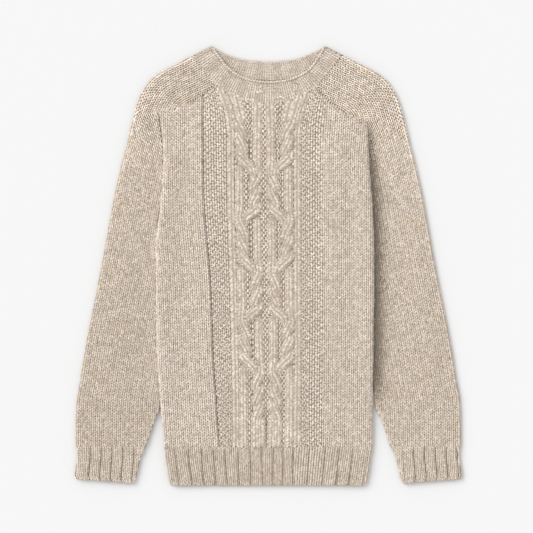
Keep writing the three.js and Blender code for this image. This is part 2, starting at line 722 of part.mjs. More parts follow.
// The neckband: a flattened ring whose sections run from its seam to its free edge
function makeNeckband() {
  const end = { across: SLEEVE[0].foldAcross, up: SLEEVE[0].foldUp };
  const seamUp = (table, x) => {
    const corner = x < 0 ? table[0] : table.at(-1);
    const part = (Math.abs(x) - Math.abs(corner.across)) / (end.across - Math.abs(corner.across));
    return part > 0 ? mix(corner.up, end.up, part) : read(table, 'across', 'up', x);
  };
  const edgeEnd = NECK_EDGE_FRONT.at(-1).across;
  const rows = NECK_PROFILE.map((mark) => mark.row);
  const section = (share, seamTable, edgeTable, turn, outward, raise, kept) => ({
    rows,
    kept,
    point: (row) => {
      const seam = new THREE.Vector3(share * end.across, seamUp(seamTable, share * end.across), 0);
      const edge = new THREE.Vector3(share * edgeEnd, read(edgeTable, 'across', 'up', share * edgeEnd), 0);
      seam.addScaledVector(edge.clone().sub(seam).normalize(), SLANTED_GAP);
      const spot = seam.lerp(edge, row);
      const mark = NECK_PROFILE.find((one) => one.row === row);
      const top = turn === 0 ? raise * mark.ribs + mark.bead : 0;
      const at = (radius) => new THREE.Vector3(
        spot.x + outward.x * radius * Math.sin(turn),
        spot.y + outward.y * radius * Math.sin(turn),
        FOLD_RADIUS + radius * Math.cos(turn),
      );
      return { outer: at(FOLD_RADIUS + top), inner: at(FOLD_RADIUS - WALL) };
    },
  });
  const foldOut = (side) => {
    const front = raglan(side)[0];
    const middle = new THREE.Vector2(front.across + RAGLAN_BACK.corner, front.up + RAGLAN_BACK.cornerUp);
    const out = new THREE.Vector2(end.across, end.up).sub(middle.multiplyScalar(0.5)).normalize();
    return new THREE.Vector2(side * out.x, out.y);
  };
  const lanes = [];
  for (let rib = 0; rib < NECK_RIBS; rib += 1) {
    for (const [k, part] of NECK_RIB_PARTS.entries()) {
      const share = mix(-1, 1, (rib + part) / NECK_RIBS);
      const raise = k === 1 || k === 2 ? NECK_RIB_RAISE : 0;
      lanes.push(section(share, NECK_SEAM_FRONT, NECK_EDGE_FRONT, 0, foldOut(1), raise, k % 2 === 0));
    }
  }
  lanes.push(section(1, NECK_SEAM_FRONT, NECK_EDGE_FRONT, 0, foldOut(1), 0, true));
  for (const turn of FOLD_TURNS) {
    lanes.push(section(1, NECK_SEAM_FRONT, NECK_EDGE_FRONT, turn, foldOut(1), 0, true));
  }
  for (const share of spaced(2 * NECK_RIBS, 1, -1)) {
    lanes.push(section(share, NECK_SEAM_BACK, NECK_EDGE_BACK, Math.PI, foldOut(1), 0, true));
  }
  for (const turn of FOLD_TURNS.toReversed()) {
    lanes.push(section(-1, NECK_SEAM_FRONT, NECK_EDGE_FRONT, turn, foldOut(-1), 0, true));
  }
  const outer = lanes.map((lane, k) => ({ ...lane, at: k }));
  const inner = plainInside(outer, (lane) => lane.kept, NECK_INSIDE_ROWS);
  return wallOf({ outer, inner, ring: true });
}

// The sweater: every piece in its own oatmeal wool, the ribs a little darker than the plain knitting
const wool = (color) => new THREE.MeshStandardMaterial({ color, roughness: 0.95, flatShading: true });
const plainWool = wool(0xcbbeac);
const ribWool = wool(0xc3b5a2);

const sweater = new THREE.Group();
sweater.name = 'cable_knit_sweater';
function addPiece(name, geometry, material) {
  const mesh = new THREE.Mesh(geometry, material);
  mesh.name = name;
  sweater.add(mesh);
}
addPiece('front', makeFront(), plainWool);
addPiece('hem_front', makeFrontHem(), ribWool);
addPiece('back', backPiece(HEM_DEPTH + SEAM_GAP, BODY_LENGTH), plainWool);
addPiece('hem_back', backPiece(0, HEM_DEPTH), ribWool);
addPiece('sleeve_right', makeSleeve(-1), plainWool);
addPiece('sleeve_left', makeSleeve(1), plainWool);
addPiece('cuff_right', makeCuff(-1), ribWool);
addPiece('cuff_left', makeCuff(1), ribWool);
addPiece('neckband', makeNeckband(), ribWool);
sweater.position.y = -BODY_LENGTH / 2;

export default sweater;
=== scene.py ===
"""A cable knit raglan sweater in oatmeal wool, laid flat on its back with its sleeves beside it."""

import bpy
import math
import numpy as np
from functools import partial
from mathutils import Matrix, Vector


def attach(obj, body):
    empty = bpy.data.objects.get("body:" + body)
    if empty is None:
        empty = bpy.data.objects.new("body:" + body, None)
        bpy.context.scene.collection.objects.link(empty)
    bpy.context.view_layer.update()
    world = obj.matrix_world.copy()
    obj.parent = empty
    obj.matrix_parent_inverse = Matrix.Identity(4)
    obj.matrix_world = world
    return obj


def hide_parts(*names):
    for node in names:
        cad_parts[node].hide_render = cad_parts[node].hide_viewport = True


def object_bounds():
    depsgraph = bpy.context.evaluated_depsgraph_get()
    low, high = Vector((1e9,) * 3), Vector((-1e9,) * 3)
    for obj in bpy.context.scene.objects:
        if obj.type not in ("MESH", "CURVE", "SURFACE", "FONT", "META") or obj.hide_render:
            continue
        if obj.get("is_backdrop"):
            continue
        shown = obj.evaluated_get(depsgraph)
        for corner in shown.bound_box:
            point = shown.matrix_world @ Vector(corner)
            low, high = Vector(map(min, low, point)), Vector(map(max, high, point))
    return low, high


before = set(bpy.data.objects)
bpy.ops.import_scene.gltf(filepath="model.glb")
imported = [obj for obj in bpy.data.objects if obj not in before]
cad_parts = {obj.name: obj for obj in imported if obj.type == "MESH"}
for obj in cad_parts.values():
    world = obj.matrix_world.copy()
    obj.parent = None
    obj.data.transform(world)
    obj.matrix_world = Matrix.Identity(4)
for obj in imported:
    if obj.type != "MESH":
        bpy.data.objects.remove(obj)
cad_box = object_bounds()

# The back of the sweater is one plain knitted panel of thick heathered wool. It lies flat on the surface
# under the front, between the front's two side returns, and its shoulders slant to the raglan seams.
# Sizes are in millimetres, and heights count up from the hem's edge. Left and right in a table or in a
# comment on one are the picture's sides; pieces are named from the wearer's side.
BODY_LENGTH = 701.5
HEM_DEPTH = 62
WALL = 3
FLAT_HEIGHT = 6.6
SEAM_GAP = 0.05
SIDE_RETURN = 22
STITCH_WIDTH = 6.7
STITCH_HEIGHT = 4.375

# height above the hem edge, half widths to the left and right edges, height of the roll at the edges
BODY = [
    (0, 158, 157, 7.6),
    (40, 164, 163, 8.4),
    (74, 167, 167, 9.4),
    (135, 173, 167, 11.5),
    (231, 179, 168.5, 13.5),
    (374, 180, 169, 14),
    (455, 172, 166, 14),
    (520, 168, 161, 12.5),
    (570, 172, 159, 9),
    (594, 176, 158, 7.2),
]
# distance from the middle and height: along the seam between the back and the neckband, along the two
# raglan seams of the front, and at the back's corner, where its straight raglan seam starts
NECK_SEAM_BACK = [(-92, 667), (-68, 656), (-39, 649), (0, 645.6), (39, 649), (68, 656), (92, 667)]
RAGLAN_LEFT = [(84.5, 641), (108, 622), (137, 605), (176, 594)]
RAGLAN_RIGHT = [(77, 637), (96, 614), (124, 592), (158, 580)]
RAGLAN_BACK = (92, 667)


def read(rows, column, place):
    """Smooth reading of a table by its first column, with no overshoot between its rows."""
    at = np.array([row[0] for row in rows], float)
    values = np.array([row[column] for row in rows], float)
    place = np.clip(np.asarray(place, float), at[0], at[-1])
    row = np.clip(np.searchsorted(at, place, side="right") - 1, 0, len(at) - 2)
    slopes = np.diff(values) / np.diff(at)
    total = slopes[:-1] + slopes[1:]
    product = slopes[:-1] * slopes[1:]
    meet = np.where(product > 0, 2 * product / np.where(product > 0, total, 1), 0)
    tangents = np.concatenate([slopes[:1], meet, slopes[-1:]])
    width = np.diff(at)[row]
    part = (place - at[row]) / width
    eased = part * part * (3 - 2 * part)
    bend = tangents[row] * (1 - part) - tangents[row + 1] * part
    return values[row] + np.diff(values)[row] * eased + width * part * (1 - part) * bend


def ease(part):
    part = np.clip(part, 0, 1)
    return part * part * (3 - 2 * part)


def mix(start, end, part):
    return start + (end - start) * part


def bell(place, centre, width):
    """1 at the centre, falling softly to 0 on both sides."""
    return np.exp(-(((place - centre) / width) ** 2))


def body_edge(side, up):
    return read(BODY, 1 if side < 0 else 2, up)


def raglan(side):
    return RAGLAN_LEFT if side < 0 else RAGLAN_RIGHT


def underarm(side):
    return raglan(side)[-1][1]


def back_top(x):
    """Height of the back's top edge: the neckband's seam, then the straight raglan seams."""
    x = np.asarray(x, float)
    end_x = np.where(x < 0, RAGLAN_LEFT[-1][0], RAGLAN_RIGHT[-1][0])
    end_up = np.where(x < 0, RAGLAN_LEFT[-1][1], RAGLAN_RIGHT[-1][1])
    part = (np.abs(x) - RAGLAN_BACK[0]) / (end_x - RAGLAN_BACK[0])
    slanted = mix(RAGLAN_BACK[1], end_up, part)
    return np.where(part > 0, slanted, read(NECK_SEAM_BACK, 1, x))


def unit(vectors):
    return vectors / (np.linalg.norm(vectors, axis=-1, keepdims=True) + 1e-9)


def outward(outer, inner):
    """Direction out of a wall of cloth at every point of its outer grid."""
    away = unit(np.cross(np.gradient(outer, axis=1), np.gradient(outer, axis=0)))
    return np.where(np.sum(away * (outer - inner), axis=2, keepdims=True) < 0, -away, away)


def closed_shell(name, outer, inner, stitches, ring=False, **marks):
    """A wall of cloth between two grids of points in millimetres, rows up the piece and columns across.
    Stitches is the grid's place in the knitting, counted in stitches and rows."""
    rows, columns = outer.shape[:2]
    corner = np.arange(rows * columns).reshape(rows, columns)
    if ring:
        point = np.arange(rows * (columns - 1)).reshape(rows, columns - 1)
        point = np.hstack([point, point[:, :1]])
        kept = slice(0, columns - 1)
    else:
        point = corner
        kept = slice(0, columns)
    count = point.max() + 1
    places = np.vstack([outer[:, kept].reshape(-1, 3), inner[:, kept].reshape(-1, 3)])
    places[:, 1] -= BODY_LENGTH / 2

    def faces(a, inside):
        quads = [
            np.stack([a[:-1, :-1], a[:-1, 1:], a[1:, 1:], a[1:, :-1]], -1).reshape(-1, 4),
            np.stack([a[:-1, :-1], a[1:, :-1], a[1:, 1:], a[:-1, 1:]], -1).reshape(-1, 4) + inside,
            np.stack([a[0, 1:], a[0, :-1], a[0, :-1] + inside, a[0, 1:] + inside], -1),
            np.stack([a[-1, :-1], a[-1, 1:], a[-1, 1:] + inside, a[-1, :-1] + inside], -1),
        ]
        if not ring:
            quads.append(np.stack([a[:-1, 0], a[1:, 0], a[1:, 0] + inside, a[:-1, 0] + inside], -1))
            quads.append(np.stack([a[1:, -1], a[:-1, -1], a[:-1, -1] + inside, a[1:, -1] + inside], -1))
        return np.vstack(quads)

    quads = faces(point, count)
    corners = faces(corner, rows * columns)
    a, b, c, d = (places[quads[:, k]] for k in range(4))
    volume = np.sum(a * np.cross(b, c)) + np.sum(a * np.cross(c, d))
    if volume < 0:
        quads = quads[:, ::-1]
        corners = corners[:, ::-1]
    mesh = bpy.data.meshes.new(name)
    mesh.from_pydata((places / 1000).tolist(), [], quads.tolist())
    mesh.polygons.foreach_set("use_smooth", np.ones(len(quads), bool))
    both = np.vstack([stitches.reshape(-1, 2), stitches.reshape(-1, 2)])
    layer = mesh.uv_layers.new(name="stitches")
    layer.data.foreach_set("uv", both[corners.ravel()].astype(np.float32).ravel())
    for mark, values in marks.items():
        values = np.broadcast_to(values, (rows, columns))[:, kept].reshape(-1)
        attribute = mesh.attributes.new(mark, "FLOAT", "POINT")
        attribute.data.foreach_set("value", np.concatenate([values, values]).astype(np.float32))
    mesh.update()
    piece = bpy.data.objects.new(name, mesh)
    bpy.context.scene.collection.objects.link(piece)
    return piece


def connect(tree, node, sockets):
    """Sets a node's inputs, by name or number, to values or links them to other nodes' outputs."""
    for key, value in sockets.items():
        if isinstance(value, bpy.types.NodeSocket):
            tree.links.new(value, node.inputs[key])
        else:
            node.inputs[key].default_value = value
    return node


def add_node(tree, kind, sockets=None, **settings):
    node = tree.nodes.new(kind)
    for key, value in settings.items():
        setattr(node, key, value)
    return connect(tree, node, sockets or {})


def maths(tree, operation, *terms):
    """One Math node on numbers or on the outputs of other nodes."""
    return add_node(tree, "ShaderNodeMath", dict(enumerate(terms)), operation=operation).outputs[0]


def blend_colours(tree, how_much, first, second, way="MIX"):
    sockets = {0: how_much, 6: first, 7: second}
    return add_node(tree, "ShaderNodeMix", sockets, data_type="RGBA", blend_type=way).outputs[2]


def new_tree(kind, name, inputs, outputs):
    """An empty node tree with named sockets, some with a starting value, and its two end nodes."""
    tree = bpy.data.node_groups.new(name, kind)
    for label, form, *start in inputs:
        socket = tree.interface.new_socket(label, in_out="INPUT", socket_type="NodeSocket" + form)
        if start:
            socket.default_value = start[0]
    for label, form in outputs:
        tree.interface.new_socket(label, in_out="OUTPUT", socket_type="NodeSocket" + form)
    return tree, add_node(tree, "NodeGroupInput"), add_node(tree, "NodeGroupOutput")


# Knit stitches: each is a V of two slanting legs of yarn. The stitch place counts stitches across and rows
# up, and every leg has a number of its own for its shade.
knitting, given, put_out = new_tree(
    "ShaderNodeTree", "Knitted stitches", [("Stitch place", "Vector")],
    [("Height", "Float"), ("Hollow", "Float"), ("Yarn shade", "Float")],
)
sums = partial(maths, knitting)
split = add_node(knitting, "ShaderNodeSeparateXYZ", {0: given.outputs["Stitch place"]})
across, along = split.outputs[0], split.outputs[1]
from_axis = sums("ABSOLUTE", sums("SUBTRACT", sums("FRACT", across), 0.5))
slanted = sums("MULTIPLY_ADD", from_axis, -2.2, along)
leg = sums("MULTIPLY_ADD", sums("FRACT", slanted), 2, -1)
leg_round = sums("SUBTRACT", 1, sums("POWER", sums("ABSOLUTE", leg), 2))
half = sums("MULTIPLY_ADD", from_axis, 4, -1)
half_round = sums("SUBTRACT", 1, sums("POWER", sums("ABSOLUTE", half), 5))
height = sums("SQRT", sums("MULTIPLY", leg_round, half_round))
# Hollow is the room between the legs, where the wool paints shade
hollow = sums("POWER", sums("SUBTRACT", 1, height), 1.3)
leg_number = {0: sums("FLOOR", sums("MULTIPLY", across, 2)), 1: sums("FLOOR", slanted)}
numbered = add_node(knitting, "ShaderNodeCombineXYZ", leg_number)
shade = add_node(knitting, "ShaderNodeTexWhiteNoise", noise_dimensions="2D")
connect(knitting, shade, {"Vector": numbered.outputs[0]})
connect(knitting, put_out, {"Height": height, "Hollow": hollow, "Yarn shade": shade.outputs["Value"]})

# Heathered wool: fibres of several shades are spun together, so the colour drifts along the yarn in pale,
# grey-pink and straw patches, with fine flecks
DARK_FLECK = (0.36, 0.295, 0.225, 1)
LIGHT_FLECK = (0.93, 0.86, 0.77, 1)
heather, given, put_out = new_tree(
    "ShaderNodeTree", "Heathered wool",
    [("Place", "Vector"), ("Pale", "Color"), ("Grey", "Color"), ("Straw", "Color")],
    [("Wool colour", "Color"), ("Fibre height", "Float")],
)


def drift(size, detail, low, high, squeeze=(1, 1, 1)):
    """A soft patchy mask over the place, from 0 to 1, in patches of about that size in millimetres."""
    spread = add_node(heather, "ShaderNodeMapping", {"Scale": squeeze, "Vector": given.outputs["Place"]})
    spots = {"Scale": 1000 / size, "Detail": detail, "Vector": spread.outputs[0]}
    noise = add_node(heather, "ShaderNodeTexNoise", spots)
    limits = {"From Min": low, "From Max": high, "Value": noise.outputs[0]}
    return add_node(heather, "ShaderNodeMapRange", limits, interpolation_type="SMOOTHSTEP").outputs[0]


greyed = blend_colours(heather, drift(13, 3, 0.45, 0.8, (0.7, 1.4, 1)), given.outputs["Pale"],
                       given.outputs["Grey"])
strawed = blend_colours(heather, drift(22, 3, 0.45, 0.8, (0.8, 1.3, 1.1)), greyed, given.outputs["Straw"])
dark_part = maths(heather, "MULTIPLY", drift(3.6, 2, 0.52, 0.74, (0.8, 1.1, 1)), 0.6)
flecked = blend_colours(heather, dark_part, strawed, DARK_FLECK)
light_part = maths(heather, "MULTIPLY", drift(3.2, 2, 0.54, 0.76, (1.1, 0.8, 1.3)), 0.48)
lit = blend_colours(heather, light_part, flecked, LIGHT_FLECK)
connect(heather, put_out, {"Wool colour": lit, "Fibre height": drift(0.9, 2, 0.3, 0.7)})


def wool(name, pale, grey, straw, depth, loops=False):
    """Matte wool in one of the sweater's tones. Cloth shows its stitches by relief of that depth in metres,
    with painted shade in the hollows between the stitches and where loops of yarn lie over it; the loops
    themselves get painted shade on their sides and a little painted light on their tops. The groove and shade
    mark paints shade into grooves and creases, and a painted highlight where it is below zero."""
    material = bpy.data.materials.new(name)
    material.use_nodes = True
    tree = material.node_tree
    sums = partial(maths, tree)

    def mark(label):
        return add_node(tree, "ShaderNodeAttribute", attribute_name=label).outputs["Fac"]

    spot = add_node(tree, "ShaderNodeTexCoord")
    fibres = add_node(tree, "ShaderNodeGroup", {
        "Place": spot.outputs["Object"], "Pale": (*pale, 1), "Grey": (*grey, 1), "Straw": (*straw, 1),
    }, node_tree=heather)
    relief = fibres.outputs["Fibre height"]
    if loops:
        # painted shade on each loop's sides and a little painted light on its top, read from its crown mark
        yarn = sums("MULTIPLY_ADD", mark("shade"), 0.34, 0.76)
        side_height = sums("MULTIPLY_ADD", mark("crown"), 1.5, 0.5)
        side_height.node.use_clamp = True
        painted_stitch_shade = sums("MULTIPLY_ADD", side_height, 0.4, 0.65)
    else:
        stitch = add_node(tree, "ShaderNodeUVMap", uv_map="stitches")
        knit = add_node(tree, "ShaderNodeGroup", {"Stitch place": stitch.outputs[0]}, node_tree=knitting)
        yarn = sums("MULTIPLY_ADD", knit.outputs["Yarn shade"], 0.26, 0.9)
        # painted shade in the hollows between the stitches, and more where loops of yarn lie over the cloth
        painted_hollow_shade = sums("MULTIPLY_ADD", knit.outputs["Hollow"], -0.8, 1.06)
        painted_stitch_shade = sums("MULTIPLY", painted_hollow_shade, sums("MULTIPLY_ADD", mark("covered"), -0.45, 1))
        relief = sums("MULTIPLY_ADD", relief, 0.16, knit.outputs["Height"])
    # painted shade in grooves and creases from the groove and shade mark; where the mark is below zero, a
    # painted highlight
    painted_groove_shade = sums("MULTIPLY_ADD", mark("groove"), -0.6, 1)
    darkened = sums("MULTIPLY", sums("MULTIPLY", yarn, painted_stitch_shade), painted_groove_shade)
    darker = add_node(tree, "ShaderNodeCombineColor", {
        0: sums("POWER", darkened, 0.94), 1: darkened, 2: sums("POWER", darkened, 1.1),
    })
    colour = blend_colours(tree, 1.0, fibres.outputs["Wool colour"], darker.outputs[0], "MULTIPLY")
    bump = add_node(tree, "ShaderNodeBump", {"Strength": 1, "Distance": depth, "Height": relief})
    connect(tree, tree.nodes["Principled BSDF"], {
        "Roughness": 0.9, "Specular IOR Level": 0.15, "Sheen Weight": 0.12, "Sheen Roughness": 0.6,
        "Base Color": colour, "Normal": bump.outputs[0],
    })
    return material


PLAIN = ((0.74, 0.643, 0.556), (0.655, 0.562, 0.482), (0.72, 0.615, 0.505))
SLEEVE_TONE = ((0.725, 0.625, 0.525), (0.65, 0.552, 0.458), (0.70, 0.59, 0.463))
RIB = ((0.70, 0.603, 0.507), (0.627, 0.534, 0.445), (0.679, 0.574, 0.455))
plain_wool = wool("Plain wool", *PLAIN, 0.0015)
rib_wool = wool("Rib wool", *RIB, 0.0014)


def carried(piece, slot):
    """The piece rides on the sweater's one rigid body. Its slot, one of its two wools, is not used."""
    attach(piece, "root")
    return piece


def counted(piece, slot, material, *nodes):
    """The finished piece gets its wool and stands for its solids, if it has any."""
    piece.data.materials.append(material)
    carried(piece, slot)
    if nodes:
        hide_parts(*nodes)
    return piece


def back_piece(name, start, end, steps):
    """The back or its hem: columns straight up to the neckband, more of them out to the side returns."""
    row = np.linspace(0, 1, steps)
    outwards = np.linspace(0, 1, 17)[1:]
    lanes = [(-1, part) for part in outwards[::-1]]
    lanes += [(0, across) for across in np.linspace(-RAGLAN_BACK[0], RAGLAN_BACK[0], 41)]
    lanes += [(1, part) for part in outwards]
    under = np.zeros((steps, len(lanes), 3))
    for k, (side, value) in enumerate(lanes):
        if side == 0:
            x = np.full(steps, float(value))
        else:
            level = mix(start, min(end, underarm(side)), row)
            x = side * mix(RAGLAN_BACK[0], body_edge(side, level) - SIDE_RETURN - SEAM_GAP, value)
        top = back_top(x) if end > HEM_DEPTH else end
        under[:, k, 0] = x
        under[:, k, 1] = mix(start, top, row)
    over = under.copy()
    over[:, :, 2] = WALL
    stitches = under[:, :, :2] / (STITCH_WIDTH, STITCH_HEIGHT)
    return closed_shell(name, under, over, stitches)


back_panel = back_piece("back_panel", HEM_DEPTH + SEAM_GAP, BODY_LENGTH, 60)
counted(back_panel, "plain_wool", plain_wool, "back")

# The back's hem is a ribbed band knitted on to the back panel. It lies flat under the front's hem.
back_hem = back_piece("back_hem", 0, HEM_DEPTH, 16)
counted(back_hem, "rib_wool", rib_wool, "hem_back")

# Over the whole upper side lie the stitches themselves: every plain stitch is a V of two slanting legs of
# yarn, and every purl stitch is a lying bump. They are grown on the cloth's own stitch places.
LEG_SLANT = 0.4
plain_yarn = wool("Plain yarn", *PLAIN, 0.0004, loops=True)
rib_yarn = wool("Rib yarn", *RIB, 0.0004, loops=True)
neck_yarn = wool("Neckband yarn", *PLAIN, 0.0004, loops=True)
sleeve_yarn = wool("Sleeve yarn", *SLEEVE_TONE, 0.0004, loops=True)
loop_tree, given, put_out = new_tree(
    "GeometryNodeTree", "Loops of yarn",
    [("Geometry", "Geometry"), ("Loop width", "Float", 0.003), ("Loop depth", "Float", 0.0026),
     ("Loop length", "Float", 0.006), ("Yarn", "Material")],
    [("Geometry", "Geometry")],
)
grow = partial(add_node, loop_tree)
grain = grow("GeometryNodeMeshIcoSphere", {"Radius": 0.5, "Subdivisions": 1})
grain_place = grow("GeometryNodeInputPosition")
grain_parts = grow("ShaderNodeSeparateXYZ", {0: grain_place.outputs[0]})
# each grain keeps its height across its out axis as crown, which the wool turns into painted shade on the
# loop's sides
crowned = grow("GeometryNodeStoreNamedAttribute", {
    "Geometry": grain.outputs["Mesh"], "Name": "crown", "Value": grain_parts.outputs[1],
}, data_type="FLOAT", domain="POINT")
shape = grow("ShaderNodeCombineXYZ", {
    0: given.outputs["Loop width"], 1: given.outputs["Loop depth"], 2: given.outputs["Loop length"],
})
uneven = grow("FunctionNodeRandomValue", data_type="FLOAT_VECTOR")
connect(loop_tree, uneven, {"Min": (0.86, 0.8, 0.9), "Max": (1.12, 1.2, 1.1), "Seed": 4})
sized = grow("ShaderNodeVectorMath", {0: shape.outputs[0], 1: uneven.outputs["Value"]}, operation="MULTIPLY")


def known(label):
    """A direction or a stretch that the point brings with it."""
    kind = "GeometryNodeInputNamedAttribute"
    return add_node(loop_tree, kind, {"Name": label}, data_type="FLOAT_VECTOR").outputs[0]


def made_real(tree, placed, material, put_out):
    """The end of a tree: its loops are made real, shaded smooth and given their wool."""
    real = add_node(tree, "GeometryNodeRealizeInstances", {0: placed.outputs[0]})
    smooth = add_node(tree, "GeometryNodeSetShadeSmooth", {0: real.outputs[0]})
    sockets = {"Geometry": smooth.outputs[0], "Material": material}
    finished = add_node(tree, "GeometryNodeSetMaterial", sockets)
    connect(tree, put_out, {0: finished.outputs[0]})


stretched = grow("ShaderNodeVectorMath", {0: sized.outputs[0], 1: known("stretch")}, operation="MULTIPLY")
facing = grow("FunctionNodeAxesToRotation", {0: known("way"), 1: known("out")},
              primary_axis="Z", secondary_axis="Y")
placed = grow("GeometryNodeInstanceOnPoints", {
    "Points": given.outputs["Geometry"], "Instance": crowned.outputs[0], "Scale": stretched.outputs[0],
    "Rotation": facing.outputs[0],
})
made_real(loop_tree, placed, given.outputs["Yarn"], put_out)


def grown(name, tree, points, edges, settings, **marks):
    """Runs a node tree on points in millimetres and returns what it makes as a plain mesh object."""
    mesh = bpy.data.meshes.new(name)
    places = np.array(points, float)
    places[:, 1] -= BODY_LENGTH / 2
    mesh.from_pydata((places / 1000).tolist(), edges, [])
    for mark, values in marks.items():
        kind, field = ("FLOAT_VECTOR", "vector") if values.ndim == 2 else ("FLOAT", "value")
        attribute = mesh.attributes.new(mark, kind, "POINT")
        attribute.data.foreach_set(field, values.astype(np.float32).ravel())
    start = bpy.data.objects.new(name, mesh)
    bpy.context.scene.collection.objects.link(start)
    modifier = start.modifiers.new(name, "NODES")
    modifier.node_group = tree
    for item in tree.interface.items_tree:
        if item.in_out == "INPUT" and item.name in settings:
            modifier[item.identifier] = settings[item.name]
    made = start.evaluated_get(bpy.context.evaluated_depsgraph_get())
    plain = bpy.data.meshes.new_from_object(made)
    start.modifiers.clear()
    start.data = plain
    bpy.data.meshes.remove(mesh)
    return start


COUNT_COLUMN = 12


def stitch_places(outer, inner, stitches, **marks):
    """The two halves of every stitch on the upper side of a grid: a dictionary of arrays. Each line of the
    table holds four triples, spot, ahead, aside and out, then the count across and the marks."""
    ahead = unit(np.gradient(outer, axis=0))
    step = np.gradient(outer, axis=1)
    counted_step = np.gradient(stitches[:, :, :1], axis=1)
    aside = unit(step * np.sign(counted_step))
    marks["wide"] = np.linalg.norm(step, axis=2) / np.abs(counted_step[:, :, 0]) / STITCH_WIDTH
    counted_row = np.gradient(stitches[:, :, 1], axis=0)
    marks["tall"] = np.linalg.norm(np.gradient(outer, axis=0), axis=2) / np.abs(counted_row) / STITCH_HEIGHT
    extra = [np.broadcast_to(values, outer.shape[:2])[:, :, None] for values in marks.values()]
    fields = np.concatenate([outer, ahead, aside, outward(outer, inner), stitches[:, :, :1], *extra], -1)
    level = stitches[:, :, 1]
    found = []
    for row in range(math.ceil(level.min() - 0.5), math.ceil(level.max() - 0.5)):
        above = (level < row + 0.5).sum(axis=0)
        column = np.nonzero((above > 0) & (above < len(level)))[0]
        above = above[column]
        if len(column) < 2:
            continue
        part = (row + 0.5 - level[above - 1, column]) / (level[above, column] - level[above - 1, column])
        line = mix(fields[above - 1, column], fields[above, column], part[:, None])
        line = line[np.argsort(line[:, COUNT_COLUMN])]
        count = line[:, COUNT_COLUMN]
        half = np.arange(math.ceil(count[0] * 2 - 0.95), math.ceil(count[-1] * 2 - 0.05))
        reached = np.clip(half / 2 + 0.25, count[0], count[-1])
        after = np.clip(np.searchsorted(count, reached), 1, len(line) - 1)
        part = (reached - count[after - 1]) / (count[after] - count[after - 1])
        legs = mix(line[after - 1], line[after], part[:, None])
        found.append(np.column_stack([legs, half, np.full(len(half), row)]))
    table = np.vstack(found)
    table = table[(table[:, 11] > 0.15) & (table[:, 2] > 2)]
    places = {"spot": table[:, 0:3], "ahead": table[:, 3:6], "aside": table[:, 6:9], "out": table[:, 9:12],
              "half": table[:, -2].astype(int), "row": table[:, -1].astype(int)}
    for k, mark in enumerate(marks):
        places[mark] = table[:, COUNT_COLUMN + 1 + k]
    return places


# one loop's sizes in metres
LOOP_SIZE_NAMES = ("Loop width", "Loop depth", "Loop length")
KNIT_LOOP = (0.0029, 0.0027, 0.0076)
PURL_LOOP = (0.003, 0.0026, 0.0037)


def loops(name, slot, yarn, places, chosen=slice(None), purl=False, sink=0.5, size=1.0, tone=0.0,
          slant=LEG_SLANT, loose=1.0, differ=1.0):
    """Loops of yarn at the chosen stitch halves: slanting legs, or lying bumps for purl stitches. Sink is
    in millimetres; loose and differ say how much the loops vary in place and in shade."""
    kept = {key: values[chosen].copy() for key, values in places.items()}
    slim = kept.get("slim", np.zeros(len(kept["half"])))
    chance = np.random.default_rng(len(kept["half"]))
    hand = np.where(kept["half"] % 2 == 0, -1, 1)[:, None]
    loose = loose * (1 - 0.4 * slim[:, None])
    lean = slant + loose * chance.normal(0, 0.09, hand.shape)
    if purl:
        way = kept["aside"] + kept["ahead"] * chance.normal(0.1, 0.25, hand.shape) * hand
    else:
        way = kept["ahead"] * np.cos(lean) + kept["aside"] * hand * np.sin(lean) - 0.09 * kept["out"]
    lengthwise = np.sum(kept["out"] * way, axis=1, keepdims=True)
    away = kept["out"] - way * lengthwise / np.sum(way * way, axis=1, keepdims=True)
    shift = loose * chance.normal(0, 0.14, (3, len(hand), 1))
    stagger = hand * np.where(kept["row"] % 2 == 0, 1, -1)[:, None]
    ahead_shift = 2 * shift[1] + (0.22 * STITCH_HEIGHT * stagger if purl else 0)
    spot = kept["spot"] + kept["aside"] * shift[0] + kept["ahead"] * ahead_shift
    # the groove and shade mark sinks the loops into grooves and darkens them there with painted shade; below
    # zero it gives them a painted highlight
    groove = kept.get("groove", np.zeros(len(hand)))
    spot = spot + kept["out"] * (0.6 * shift[2] - sink + 0.3 * slim[:, None] - np.clip(groove, 0, 1)[:, None])
    sizes = zip(LOOP_SIZE_NAMES, PURL_LOOP if purl else KNIT_LOOP)
    settings = {label: value * size for label, value in sizes}
    wide = np.clip(kept["wide"], 0.6, 2 if purl else 1.6)
    tall = np.clip(kept["tall"], 0.7, 1.8)
    same = np.ones(len(wide))
    knit_stretch = [wide * (1 - 0.24 * slim), same, tall * (1 - 0.08 * slim)]
    stretch = np.column_stack([same, same, wide] if purl else knit_stretch)
    shade = 0.5 + differ * chance.uniform(-0.5, 0.5, len(hand)) + tone
    piece = grown(name, loop_tree, spot, [], {**settings, "Yarn": yarn}, way=unit(way), out=unit(away),
                  stretch=stretch, shade=shade, groove=groove)
    return carried(piece, slot)


# The front is one knitted panel with the cables in its middle. Plain sides rise into a soft roll along both
# edges, where the cloth turns under to the side seams. Moss knitting lies between the sides and the cables.
SIDE_SLOPE = 45
PANEL_TOP = 607
# places across the panel as the pattern counts them, from its middle to the outer edge of the moss
WALES = [0, 4.6, 23.5, 25.5, 46.5, 48, 56, 70, 93]
CABLE_GROUND = 46.5
SINGLE_COLUMN = 52
MOSS = (56, 93)
